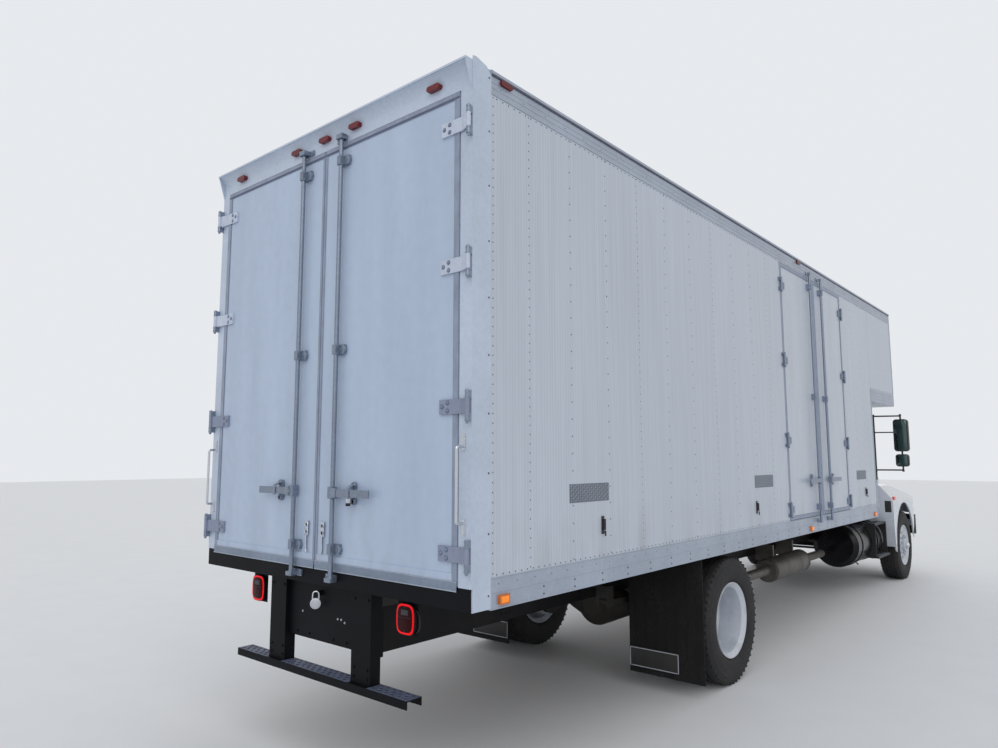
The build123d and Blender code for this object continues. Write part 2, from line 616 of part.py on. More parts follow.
def side_wall_left():
    """Plain side wall."""
    return prism(wall_outline(), "y", LINER_Y, SKIN_Y)


def side_wall_right():
    """Side wall with the opening for the side doors."""
    wall = prism(wall_outline(), "y", -SKIN_Y, -LINER_Y)
    return wall - block(SIDE_DOOR_REAR_X, SIDE_DOOR_FRONT_X, -HALF, -LINER_Y + 10,
                        BOTTOM_RAIL_TOP - 10, DOOR_TOP + DOOR_GAP)


def front_walls():
    """Bulkhead behind the cab, attic floor and nose wall, one bent panel."""
    inner_x = ATTIC_FRONT_X - WALL
    points = [(MAIN_LENGTH, DECK_BOTTOM), (MAIN_LENGTH, ATTIC_BOTTOM), (ATTIC_FRONT_X, ATTIC_BOTTOM),
              (ATTIC_FRONT_X, TOP_RAIL_BOTTOM), (inner_x, TOP_RAIL_BOTTOM), (inner_x, ATTIC_BOTTOM + WALL),
              (CORNER_X, ATTIC_BOTTOM + WALL), (CORNER_X, DECK_BOTTOM)]
    return prism(points, "y", -(LINER_Y - SEAT), LINER_Y - SEAT)


def roof():
    """Roof sheet between the top rails with its bows underneath."""
    reach = LINER_Y - SEAT
    rear_x = POST_DEPTH + SEAT
    front_x = ATTIC_FRONT_X - WALL - SEAT
    top = BODY_TOP - ROOF_CROWN_DROP
    sheet = block(rear_x, front_x, -reach, reach, top - ROOF_THICKNESS, top)
    count = int((front_x - rear_x - BOW_WIDTH) // BOW_PITCH)
    for index in range(count):
        x = rear_x + (index + 0.5) * BOW_PITCH
        sheet = sheet + block(x, x + BOW_WIDTH, -reach, reach, top - ROOF_THICKNESS - BOW_DEPTH, top - ROOF_THICKNESS)
    return sheet


def top_rails():
    """Side rails with grooves and a drip edge, the front rail and the nose corner posts."""
    groove_z = [TOP_RAIL_BOTTOM + 34, TOP_RAIL_BOTTOM + 68]
    outer = [(HALF, TOP_RAIL_BOTTOM)]
    for z in groove_z:
        outer += [(HALF, z - 3), (HALF - 3, z), (HALF, z + 3)]
    outer += [(HALF, BODY_TOP - 28), (HALF + DRIP_PROUD, BODY_TOP - 22), (HALF + DRIP_PROUD, BODY_TOP - 4),
              (HALF, BODY_TOP + 4), (HALF - 30, BODY_TOP)]
    section = outer + [(LINER_Y, BODY_TOP), (LINER_Y, TOP_RAIL_BOTTOM)]
    rail = prism(section, "x", POST_SIDE_DEPTH + SEAT, NOSE_POST_X)
    start = block(POST_DEPTH + SEAT, POST_SIDE_DEPTH + SEAT, LINER_Y, SKIN_Y, TOP_RAIL_BOTTOM, BODY_TOP - 2)
    corner = block(NOSE_POST_X, ATTIC_FRONT_X, LINER_Y, HALF, ATTIC_BOTTOM, BODY_TOP)
    edge = corner.edges().filter_by(Axis.Z).sort_by(lambda line: line.center().X + line.center().Y)[-1]
    corner = fillet(edge, 45)
    front = block(ATTIC_FRONT_X - WALL, ATTIC_FRONT_X, -LINER_Y, LINER_Y, TOP_RAIL_BOTTOM, BODY_TOP)
    return joined(front, *both(joined(rail, start, corner)))


def bottom_rails():
    """Side rails with their lips, the lower front corner posts and the ribbed attic rails."""
    low, high = BOTTOM_RAIL_BOTTOM, BOTTOM_RAIL_TOP
    # section of the side rail, (y, z)
    rail_section = [(HALF, low), (HALF, low + 7), (HALF - 3, low + 9), (HALF - 3, low + 82), (HALF, low + 84),
                    (HALF, low + 92), (HALF - 3, low + 94), (HALF - 3, high - 6), (HALF, high - 4), (HALF, high),
                    (LINER_Y + 4, high), (LINER_Y + 4, BEAM_BOTTOM + 30), (HALF - 10, BEAM_BOTTOM + 30),
                    (HALF - 10, low + 8), (HALF - 45, low + 8), (HALF - 45, low)]
    rail = prism(rail_section, "x", POST_SIDE_DEPTH + SEAT, CORNER_X)
    start = block(SILL_DEPTH + SEAT, POST_SIDE_DEPTH + SEAT, LINER_Y + 4, SKIN_Y, BEAM_BOTTOM + 30, high)
    start = start + block(POST_DEPTH + SEAT, POST_SIDE_DEPTH + SEAT, LINER_Y + 4, SKIN_Y, SILL_TOP + SEAT, high)
    corner = block(CORNER_X, MAIN_LENGTH, LINER_Y, HALF, low, ATTIC_BOTTOM + 1)
    edge = corner.edges().filter_by(Axis.Z).sort_by(lambda line: line.center().X + line.center().Y)[-1]
    corner = fillet(edge, 20)
    attic_top = ATTIC_BOTTOM + ATTIC_RAIL_HEIGHT
    attic_section = [(HALF, ATTIC_BOTTOM)]
    for rib in range(3):
        z = ATTIC_BOTTOM + ATTIC_RAIL_HEIGHT * (rib + 1) / 4
        attic_section += [(HALF, z - 4), (HALF - 3, z), (HALF, z + 4)]
    attic_section += [(HALF, attic_top), (LINER_Y, attic_top), (LINER_Y, ATTIC_BOTTOM)]
    attic = prism(attic_section, "x", CORNER_X, NOSE_POST_X - SEAT)
    return both(joined(rail, start, corner, attic))


def marker_lamps():
    """Small lamps on the header, rails and cab roof."""
    solids = []
    header = rear_header()
    for y in (-1015.0, -310.0, 0.0, 310.0, 1015.0):
        lamp = fillet(block(-30, 20, y - 50, y + 50, BODY_TOP - 94, BODY_TOP - 62).edges().filter_by(Axis.X), 14)
        solids.append(lamp - header)
    for x in (270.0, SIDE_DOOR_MIDDLE_X - 460):
        lamp = block(x - 50, x + 50, HALF, HALF + 16, BODY_TOP - 64, BODY_TOP - 34)
        solids += both(fillet(lamp.edges().filter_by(Axis.Y), 13))
    for x in (250.0, SIDE_DOOR_MIDDLE_X - 410, MAIN_LENGTH - 175):
        lamp = block(x - 40, x + 40, HALF - RAIL_GROOVE, HALF + 12, BOTTOM_RAIL_BOTTOM + 19, BOTTOM_RAIL_BOTTOM + 69)
        solids += both(fillet(lamp.edges().filter_by(Axis.Y), 8))
    for y in (-620.0, -200.0, 0.0, 200.0, 620.0):
        lamp = block(CAB_REAR_X + 470, CAB_REAR_X + 560, y - 32, y + 32, CAB_TOP, CAB_TOP + 32)
        solids.append(chamfer(lamp.faces().sort_by(Axis.Z)[-1].edges(), 12))
    return solids


def body_fittings():
    """Fixed halves of the door hinges, lock keepers and the grab handles on the rear posts."""
    solids = []
    for z in REAR_HINGE_Z:
        near, far = STRAP_HALF + SEAT, STRAP_HALF + 40
        for low, high in ((z + near, z + far), (z - far, z - near)):
            knuckle = rod("z", HINGE_X, HINGE_Y, HINGE_RADIUS, low, high)
            leaf = block(HINGE_X, 0, HINGE_Y - HINGE_RADIUS, HALF, low, high)
            solids += both(joined(knuckle, leaf))
    for z in SIDE_HINGE_Z:
        for x, side in ((SIDE_DOOR_REAR_X, -1), (SIDE_DOOR_FRONT_X, 1)):
            near, far = SIDE_STRAP_HALF + SEAT, SIDE_STRAP_HALF + 34
            for low, high in ((z + near, z + far), (z - far, z - near)):
                knuckle = rod("z", x, -SIDE_HINGE_Y, 10, low, high)
                leaf = block(x, x + side * 45, -(SKIN_Y + 8), -SKIN_Y, low, high)
                web = block(x, x + side * 10, -SIDE_HINGE_Y, -SKIN_Y, low, high)
                solids.append(joined(knuckle, leaf, web))
    near, far = REAR_ROD_Y - 75, REAR_ROD_Y + 22
    solids += both(block(-10, 0, near, far, DOOR_TOP + 15, DOOR_TOP + 49))
    solids += both(block(-10, 0, near, far, DOOR_BOTTOM - 83, DOOR_BOTTOM - 43))
    for toward in (-1, 1):
        x = SIDE_DOOR_MIDDLE_X + toward * SIDE_ROD_OFFSET
        x0, x1 = sorted((x - toward * 66, x + toward * 20))
        solids.append(block(x0, x1, -(HALF + 8), -HALF, DOOR_TOP + 23, DOOR_TOP + 49))
        solids.append(block(x0, x1, -(HALF + 8), -(HALF - RAIL_GROOVE), SIDE_DOOR_BOTTOM - 69, SIDE_DOOR_BOTTOM - 34))
    return solids


def grab_handles():
    """Round bars on the rear posts to climb in by, each on two flat feet."""
    y = HALF - POST_WIDTH / 2 - 7
    bar = rod("z", -55, y, 9, 1490, 1890)
    legs = [rod("x", y, z, 8, -55, 0) for z in (1505, 1875)]
    feet = [block(-5, 0, y - 14, y + 14, low, low + 85) for low in (1432, 1863)]
    return both(joined(bar, *legs, *feet))


# Doors

def rear_door(side):
    """Rear leaf with its seal strips and bottom strip standing proud; side is +1 on the left."""
    y_in, y_out = MEETING_GAP / 2, DOOR_OUTER_Y
    seal_in, seal_out = y_in + GASKET_WIDTH / 2, y_out - GASKET_WIDTH
    solids = [
        block(0, DOOR_THICKNESS, y_in, y_out, DOOR_BOTTOM, DOOR_TOP),
        block(-GASKET_PROUD, 0, y_in, seal_in, DOOR_BOTTOM, DOOR_TOP),
        block(-GASKET_PROUD, 0, seal_out, y_out, DOOR_BOTTOM, DOOR_TOP),
        block(-GASKET_PROUD, 0, seal_in, seal_out, DOOR_TOP - GASKET_WIDTH, DOOR_TOP),
        block(-GASKET_PROUD, 0, seal_in, seal_out, DOOR_BOTTOM, DOOR_BOTTOM + BOTTOM_STRIP),
    ]
    return solids if side > 0 else [mirrored(solid) for solid in solids]


def rear_hardware(side):
    """Hinge straps, lock rod with guides and cams, handle, hasp and hold-back hook of one rear leaf."""
    solids = []
    strap = [(-GASKET_PROUD, 1075), (-GASKET_PROUD, 1232), (-18, 1262), (-18, HINGE_Y), (-26, HINGE_Y),
             (-26, 1258), (-GASKET_PROUD - 8, 1228), (-GASKET_PROUD - 8, 1075)]
    for z in REAR_HINGE_Z:
        low, high = z - STRAP_HALF, z + STRAP_HALF
        plate = prism(strap, "z", low, high)
        barrel = rod("z", HINGE_X, HINGE_Y, HINGE_RADIUS, low, high)
        pad = block(-GASKET_PROUD, 0, 1075, 1150, low, high)
        solids.append(joined(plate, barrel, pad))
    y = REAR_ROD_Y
    low, high = DOOR_BOTTOM - 78, DOOR_TOP + 45
    bar = rod("z", -ROD_STAND_OFF, y, ROD_RADIUS, low, high)
    bore = rod("z", -ROD_STAND_OFF, y, ROD_RADIUS + SEAT, low, high)
    cams = [block(-ROD_STAND_OFF - 12, -ROD_STAND_OFF + 12, y - 30, y + 10, start, start + 22)
            for start in (low + 3, high - 24)]
    ear = -side * 62
    for z in ROD_GUIDE_Z:
        collar = block(-ROD_STAND_OFF - 18, -ROD_STAND_OFF + 16, y - 18, y + 18, z - 30, z + 30)
        foot = block(-ROD_STAND_OFF + 10, 0, y + min(ear, -18), y + max(ear, 18), z - 30, z + 30)
        solids.append(joined(collar, foot) - bore)
    hub = block(-ROD_STAND_OFF - 22, -ROD_STAND_OFF + 16, y - 20, y + 20, HANDLE_Z - 35, HANDLE_Z + 35)
    solids.append(joined(bar, *cams, hub))
    solids.append(block(-ROD_STAND_OFF - 24, -ROD_STAND_OFF - 16, y + 20 + SEAT, 560, HANDLE_Z - 22, HANDLE_Z + 22))
    catch = block(-14, 0, 348, 392, HANDLE_Z - 65, HANDLE_Z + 65)
    catch = fillet(catch.edges().filter_by(Axis.X), 20)
    stem = block(-ROD_STAND_OFF - 15.5, -14, 358, 382, HANDLE_Z - 12, HANDLE_Z + 12)
    solids.append(joined(catch, stem))
    hook = block(-10, 0, 66, 96, 1388, 1436)
    solids.append(joined(hook, rod("z", -8, 81, 4, 1250, 1390)))
    return solids if side > 0 else [mirrored(solid) for solid in solids]


def side_door(toward):
    """Side leaf; toward is -1 for the leaf hinged at its rear edge and +1 for the front one."""
    hinge_x = SIDE_DOOR_REAR_X if toward < 0 else SIDE_DOOR_FRONT_X
    outer_x = hinge_x - toward * DOOR_GAP
    inner_x = SIDE_DOOR_MIDDLE_X + toward * MEETING_GAP / 2
    x0, x1 = min(outer_x, inner_x), max(outer_x, inner_x)
    leaf = block(x0, x1, -SKIN_Y, -LINER_Y, SIDE_DOOR_BOTTOM, DOOR_TOP)
    proud = block(x0, x1, -SKIN_Y - 3, -SKIN_Y, SIDE_DOOR_BOTTOM, DOOR_TOP)
    bare = block(x0 + GASKET_WIDTH, x1 - GASKET_WIDTH, -SKIN_Y - 3, -SKIN_Y,
                 SIDE_DOOR_BOTTOM + GASKET_WIDTH, DOOR_TOP - GASKET_WIDTH)
    return leaf + (proud - bare)


def side_hardware(toward):
    """Hinge straps, lock rod and handle of one side leaf."""
    solids = []
    hinge_x = SIDE_DOOR_REAR_X if toward < 0 else SIDE_DOOR_FRONT_X
    face = -(SKIN_Y + 3)
    for z in SIDE_HINGE_Z:
        low, high = z - SIDE_STRAP_HALF, z + SIDE_STRAP_HALF
        barrel = rod("z", hinge_x, -SIDE_HINGE_Y, 10, low, high)
        plate = block(hinge_x - toward * 12, hinge_x - toward * 110, face - 8, face, low, high)
        web = block(hinge_x, hinge_x - toward * 16, -SIDE_HINGE_Y, face, low, high)
        solids.append(joined(barrel, plate, web))
    x = SIDE_DOOR_MIDDLE_X + toward * SIDE_ROD_OFFSET
    y = -(SKIN_Y + ROD_STAND_OFF + 4)
    low, high = SIDE_DOOR_BOTTOM - 72, DOOR_TOP + 47
    bar = rod("z", x, y, ROD_RADIUS, low, high)
    cams = [block(x - 30, x + 10, y - 12, y + 12, start, start + 22) for start in (low + 4, high - 22)]
    guides = []
    for z in (ROD_GUIDE_Z[0] + 10, ROD_GUIDE_Z[1], ROD_GUIDE_Z[2] + 20):
        guides.append(block(x - 18, x + 18, y - 18, y + 16, z - 30, z + 30))
        guides.append(block(x - 18, x + 60, y + 10, -SKIN_Y, z - 30, z + 30))
    hub = block(x - 20, x + 20, y - 22, y + 16, HANDLE_Z - 65, HANDLE_Z + 5)
    reach = x + toward * 340
    handle = block(x, reach, y - 24, y - 16, HANDLE_Z - 52, HANDLE_Z - 8)
    solids.append(joined(bar, *cams, *guides, hub, handle))
    middle = x + toward * 170
    catch = block(middle - 22, middle + 22, -(SKIN_Y + 14), -SKIN_Y, HANDLE_Z - 95, HANDLE_Z + 35)
    stem = block(middle - 12, middle + 12, y - 15.5, -(SKIN_Y + 14), HANDLE_Z - 42, HANDLE_Z - 18)
    solids.append(joined(fillet(catch.edges().filter_by(Axis.Y), 20), stem))
    return solids


# Cab

def cab_form(inset):
    """Solid of the cab's outside, or of a surface that lies inset inside it."""
    side = [(CAB_REAR_X, CAB_BOTTOM), (CAB_REAR_X, CAB_TOP - 160), (CAB_REAR_X + 90, CAB_TOP),
            (WINDSCREEN_TOP_X - 70, CAB_TOP), (WINDSCREEN_TOP_X, CAB_TOP - 60), (CAB_FRONT_X, COWL_Z),
            (CAB_FRONT_X, CAB_BOTTOM)]
    half = CAB_HALF - inset
    body = prism(side, "y", -half, half, grow=-inset)
    rise = CAB_TOP - BELT_Z
    lean = (CAB_HALF - CAB_ROOF_HALF) / rise
    high = CAB_TOP + 200
    wedge = [(half, BELT_Z), (half - lean * (high - BELT_Z), high), (half + 300, high), (half + 300, BELT_Z)]
    for cut in both(prism(wedge, "x", CAB_REAR_X - 50, CAB_FRONT_X + 50)):
        body = body - cut
    edges = [edge for edge in body.edges()
             if abs(edge.center().Y) > CAB_ROOF_HALF * 0.9
             and edge.center().Z > CAB_BOTTOM + inset + 20
             and abs(edge.center().Z - BELT_Z) > 1]
    return fillet(edges, CAB_ROUND - inset * 0.6)


# outlines of the door and its window as (x from the cab's rear face, z), of the screens as (y, z)
DOOR_OUTLINE = [(70, 1012), (960, 1012), (960, 1640), (655, 2290), (190, 2290), (70, 2190)]
DOOR_WINDOW = [(145, 1660), (860, 1620), (615, 2215), (215, 2215), (145, 2150)]
SCREEN_OUTLINE = [(-850, 1690), (850, 1690), (760, 2290), (-760, 2290)]
BACK_OUTLINE = [(-620, 1750), (620, 1750), (600, 2130), (-600, 2130)]


def cab_side(points, side, **options):
    """Solid through one side of the cab; points are (x from the cab's rear face, z)."""
    placed = [(CAB_REAR_X + x, z) for x, z in points]
    return prism(placed, "y", side * 500, side * (CAB_HALF + 100), **options)


def door_space(side, gap):
    """Space of one cab door with a gap around it, outside the floor."""
    floor = block(CAB_REAR_X, CAB_FRONT_X, side * 400, side * (CAB_HALF - CAB_WALL - gap), CAB_BOTTOM - 50,
                  CAB_BOTTOM + CAB_WALL)
    return cab_side(DOOR_OUTLINE, side, grow=gap) - floor


def cab_shell():
    """Hollow cab with its door openings, windscreen and back window cut, and the fixed hinge knuckles."""
    shell = cab_form(0) - cab_form(CAB_WALL)
    for side in (-1, 1):
        shell = shell - door_space(side, CAB_DOOR_GAP)
    shell = shell - prism(SCREEN_OUTLINE, "x", CAB_FRONT_X - 450, CAB_FRONT_X + 50)
    shell = shell - prism(BACK_OUTLINE, "x", CAB_REAR_X - 50, CAB_REAR_X + 100)
    mounts = [block(x - 60, x + 60, y - 50, y + 50, CHASSIS_TOP, CAB_BOTTOM)
              for x in (CAB_REAR_X + 150, CAB_FRONT_X - 150) for y in (-392, 392)]
    knuckles = []
    for z in CAB_HINGE_Z:
        for low, high in ((z - 45, z - 20 - SEAT), (z + 20 + SEAT, z + 45)):
            knuckles += both(cab_knuckle(1, low, high))
    return joined(shell, *mounts, *knuckles)


def cab_knuckle(toward, low, high):
    """Left hinge knuckle and its leaf; toward is +1 on the cab and -1 on the door."""
    knuckle = rod("z", CAB_HINGE_X, CAB_HINGE_Y, 7, low, high)
    leaf = block(CAB_HINGE_X, CAB_HINGE_X + toward * 45, CAB_HALF, CAB_HALF + 5, low, high)
    return joined(knuckle, leaf)


def cab_glass():
    """Windscreen and back window."""
    pane = cab_form(GLASS_DEPTH) - cab_form(GLASS_DEPTH + GLASS_THICKNESS)
    screen = pane & prism(SCREEN_OUTLINE, "x", CAB_FRONT_X - 450, CAB_FRONT_X + 50, grow=-SEAT)
    back = pane & prism(BACK_OUTLINE, "x", CAB_REAR_X - 50, CAB_REAR_X + 100, grow=-SEAT)
    return [screen, back]


def cab_door(side):
    """Cab door as thick as its wall, with the window cut."""
    rim = cab_form(0) - cab_form(CAB_WALL)
    door = (rim & door_space(side, 0)) - cab_side(DOOR_WINDOW, side, corner=30)
    for z in CAB_HINGE_Z:
        knuckle = cab_knuckle(-1, z - 20, z + 20)
        door = joined(door, knuckle if side > 0 else mirrored(knuckle))
    return door


def door_glass(side):
    """Side window in its door."""
    pane = cab_form(GLASS_DEPTH) - cab_form(GLASS_DEPTH + GLASS_THICKNESS)
    return pane & cab_side(DOOR_WINDOW, side, grow=-SEAT, corner=30)


def mirror_set(side):
    """Mirror head and small round-cornered mirror on a loop of tube from the door."""
    x, y = CAB_FRONT_X, 1357
    head = block(x - 40, x + 45, y - 95, y + 95, 1920, 2390)
    head = fillet(head.edges().filter_by(Axis.X), 45)
    low = fillet(block(x - 40, x + 30, y - 85, y + 85, 1700, 1880).edges().filter_by(Axis.X), 40)
    inner_x, inner_y = x - 120, CAB_HALF + SEAT + 15
    upright = rod("z", x, y, 12, 1632, 2460)
    inner = rod("z", inner_x, inner_y, 12, 1510, 2460)
    arms = [strut((inner_x, inner_y, z), (x, y, z), 11) for z in (1650, 2440)]
    middle = strut((inner_x, inner_y, 2200), (x, y, 2200), 9)
    foot = block(x - 180, x - 100, CAB_HALF + SEAT, CAB_HALF + 14, 1500, 1600)
    whole = joined(head, low, upright, inner, *arms, middle, foot)
    return whole if side > 0 else mirrored(whole)


def cab_seats():
    """Driver's seat and passenger bench, each one closed form with its base."""
    floor = CAB_BOTTOM + CAB_WALL
    # outline of a seat, (x from the cab's rear face, height over the floor)
    form = [(140, 150), (110, 960), (200, 990), (290, 370), (570, 380), (600, 330), (570, 230), (510, 200), (510, 0),
            (210, 0), (210, 150)]
    form = [(CAB_REAR_X + x, floor + z) for x, z in form]
    seats = []
    for y0, y1 in ((210.0, 740.0), (-780.0, -60.0)):
        seat = prism(form, "y", y0, y1)
        long_edges = [edge for edge in seat.edges().filter_by(Axis.Y) if edge.center().Z > floor + 180]
        seats.append(fillet(long_edges, 18))
    return seats


def dashboard():
    """Instrument panel across the cab with the steering column and wheel."""
    wall_x = CAB_FRONT_X - CAB_WALL - SEAT
    section = [(wall_x - 125, 1220), (wall_x, 1180), (wall_x, 1560), (wall_x - 55, 1590), (wall_x - 185, 1585),
               (wall_x - 245, 1480), (wall_x - 215, 1380)]
    half = CAB_HALF - CAB_WALL - 40
    panel = prism(section, "y", -half, half)
    tilt = Rot(0, -42, 0)
    hub = Pos(CAB_FRONT_X - 410, 475, 1650)
    wheel = hub * tilt * Torus(215, 14)
    spokes = hub * tilt * (Box(420, 36, 14) + Box(36, 420, 14))
    column = hub * tilt * Pos(0, 0, -145) * Cylinder(32, 300)
    return joined(panel, wheel, spokes, column)


# Hood

def hood_middle(inset):
    """Middle of the hood between the fenders, or the space inside it."""
    side = [(HOOD_REAR_X, 1100), (HOOD_REAR_X, HOOD_TOP - 10), (HOOD_REAR_X + 655, HOOD_TOP - 40),
            (HOOD_NOSE_X - 380, HOOD_TOP - 150), (HOOD_NOSE_X - 90, HOOD_TOP - 270), (HOOD_NOSE_X, HOOD_TOP - 400),
            (HOOD_NOSE_X, HOOD_BOTTOM), (HOOD_NOSE_X - 430, HOOD_BOTTOM)]
    plan = [(HOOD_REAR_X - 1, HOOD_HALF), (HOOD_REAR_X + 605, HOOD_HALF - 25), (HOOD_NOSE_X - 60, HOOD_NOSE_HALF),
            (HOOD_NOSE_X + 1, HOOD_NOSE_HALF - 60)]
    plan = plan + [(x, -y) for x, y in reversed(plan)]
    front = [(-HOOD_HALF, 700), (-HOOD_HALF, HOOD_TOP - 190), (-HOOD_HALF + 60, HOOD_TOP - 70),
             (-HOOD_HALF + 230, HOOD_TOP), (HOOD_HALF - 230, HOOD_TOP), (HOOD_HALF - 60, HOOD_TOP - 70),
             (HOOD_HALF, HOOD_TOP - 190), (HOOD_HALF, 700)]
    form = prism(side, "y", -HOOD_HALF - 10, HOOD_HALF + 10, grow=-inset)
    form = form & prism(plan, "z", 800, HOOD_TOP + 50, grow=-inset)
    return form & prism(front, "x", HOOD_REAR_X - 100, HOOD_NOSE_X + 100, grow=-inset, corner=HOOD_ROUND)


def fender(inset):
    """Left fender, or the space inside it; its rear wall follows the swing about the tilt pins."""
    inner_y = 600 - inset * 2
    back, nose = HOOD_REAR_X, HOOD_NOSE_X
    lip = FRONT_AXLE_X + ARCH_RADIUS + 67
    side = [(back + 60, 455), (back + 20, 600), (back, 820), (back, 1470), (back + 655, 1380), (nose - 480, 1270),
            (nose - 130, 1150), (nose - 30, 1040), (nose - 30, 945), (lip + 30, 945), (lip, 780), (lip - 140, 455)]
    front = [(inner_y, 300), (FENDER_HALF, 300), (FENDER_HALF, FENDER_CREASE - 20),
             (FENDER_HALF - 30, FENDER_CREASE + 50), (FENDER_HALF - 170, 1410), (FENDER_HALF - 260, 1475),
             (inner_y, 1500)]
    plan = [(back - 95, inner_y), (back - 95, FENDER_HALF), (nose - 310, FENDER_HALF), (nose - 130, FENDER_HALF - 60),
            (nose - 45, FENDER_HALF - 190), (nose - 29, 700), (nose - 29, inner_y)]
    form = prism(side, "y", inner_y, FENDER_HALF + 10, grow=-inset, corner=FENDER_ROUND)
    form = form & prism(plan, "z", 300, 1600, grow=-inset, corner=FENDER_ROUND)
    return form & prism(front, "x", back - 95, nose + 70, grow=-inset, corner=HOOD_ROUND)


def hood():
    """One-piece tilting hood with its fenders, grille opening, lamp openings and tilt ears."""
    drop = Pos(0, 0, -80)
    back = Pos(-80, 0, 0)
    middle = hood_middle(0)
    space = hood_middle(HOOD_WALL)
    left = fender(0)
    left_space = fender(HOOD_WALL)
    shell = joined(middle, *both(left))
    hollows = [space, drop * space, back * space] + both(left_space) + both(drop * left_space)
    for hollow in hollows:
        shell = shell - hollow
    arch = rod("y", FRONT_AXLE_X, ARCH_RADIUS, ARCH_RADIUS, 560, FENDER_HALF + 20)
    below = block(FRONT_AXLE_X - ARCH_RADIUS, FRONT_AXLE_X + ARCH_RADIUS, 560, FENDER_HALF + 20, 300, ARCH_RADIUS)
    behind = block(HOOD_REAR_X - 10, HOOD_REAR_X + 200, 500, CAB_HALF, 300, 640)
    for cut in both(arch + below) + both(behind):
        shell = shell - cut
    shell = shell - block(HOOD_NOSE_X - 60, HOOD_NOSE_X + 10, -440, 440, 1000, 1180)
    for cut in both(block(HOOD_NOSE_X - 100, HOOD_NOSE_X + 10, 690, 960, 985, 1120)):
        shell = shell - cut
    ears = []
    for y in (352, 300):
        ear = block(HOOD_PIVOT_X - 14, HOOD_PIVOT_X + 14, y + 2, y + 24, HOOD_PIVOT_Z, HOOD_BOTTOM + 12)
        tip = rod("y", HOOD_PIVOT_X, HOOD_PIVOT_Z, 14, y + 2, y + 24)
        ears.append(joined(ear, tip))
    pin = rod("y", HOOD_PIVOT_X, HOOD_PIVOT_Z, 8, 302, 376)
    web = block(HOOD_PIVOT_X - 14, HOOD_NOSE_X - 10, 302, 376, HOOD_BOTTOM, HOOD_BOTTOM + 12)
    return joined(shell, *both(joined(*ears, pin, web)))


def grille():
    """Grille frame with its bars, in the nose opening."""
    x0, x1 = HOOD_NOSE_X - 34, HOOD_NOSE_X + 4
    y, z0, z1 = 440 - SEAT, 1000 + SEAT, 1180 - SEAT
    frame = block(x0, x1, -y, y, z0, z1) - block(x0 - 5, x1 + 5, -y + 16, y - 16, z0 + 16, z1 - 16)
    for index in range(4):
        z = z0 + 16 + (z1 - z0 - 32) * (index + 1) / 5
        frame = frame + block(x0 + 6, x1 - 6, -y + 10, y - 10, z - 5, z + 5)
    for index in range(5):
        bar_y = -y + 2 * y * (index + 1) / 6
        frame = frame + block(x0 + 10, x0 + 18, bar_y - 4, bar_y + 4, z0 + 10, z1 - 10)
    return frame


def headlamps():
    """Lamp units that fill the openings in the fenders."""
    lamp = block(HOOD_NOSE_X - 95, HOOD_NOSE_X - 40, 690 + SEAT, 960 - SEAT, 985 + SEAT, 1120 - SEAT)
    return both(lamp)


# Wheels and steering

def tyre(x, y):
    """Tyre with squared shoulders, centred at y."""
    half = TYRE_WIDTH / 2
    bore = BEAD_RADIUS + SEAT * 2
    bead = half - BEAD_INSET
    wall = [(bead, bore), (bead, FLANGE_RADIUS + 6), (half - 6, FLANGE_RADIUS + 26), (half, 400),
            (half - 10, TYRE_RADIUS - 32), (half - 34, TYRE_RADIUS)]
    points = [(-along, radius) for along, radius in wall] + wall[::-1]
    return turned(points, "y", (x, y, TYRE_RADIUS))


def rear_rims():
    """Twin rims joined at their discs, with hub, drum and hand holes, on the left."""
    y = DUAL_Y
    x, z = REAR_AXLE_X, TYRE_RADIUS
    edge = DUAL_SPACING / 2 + TYRE_WIDTH / 2 - BEAD_INSET + SEAT + RIM_FLANGE
    # outline of the outer half from the disc out, (along, radius)
    outer = [(0, 100), (14, 100), (20, 215), (60, 250), (edge - 30, 262), (edge - 4, FLANGE_RADIUS - 8),
             (edge, FLANGE_RADIUS - 6), (edge, FLANGE_RADIUS), (edge - RIM_FLANGE, FLANGE_RADIUS),
             (edge - RIM_FLANGE, BEAD_RADIUS), (edge - 60, BEAD_RADIUS), (edge - 80, 268), (60, 264), (30, 240),
             (0, 228)]
    half_rim = turned(outer, "y", (x, y, z))
    other = Pos(0, 2 * y, 0) * mirrored(half_rim)
    bore = REAR_SPINDLE + SEAT
    hub = turned([(-330, bore), (-330, 150), (-60, 150), (-40, 120), (20, 120), (60, 105), (120, 85), (120, 0),
                  (60, 0), (-60, bore)], "y", (x, y, z))
    drum = turned([(-350, 150), (-350, 208), (-180, 208), (-160, 150)], "y", (x, y, z))
    body = joined(half_rim, other, hub, drum)
    for index in range(10):
        hole = Pos(x, y, z) * Rot(0, 36 * index, 0) * Pos(185, 0, 0) * Rot(90, 0, 0) * Cylinder(28, 80)
        body = body - hole
    return body


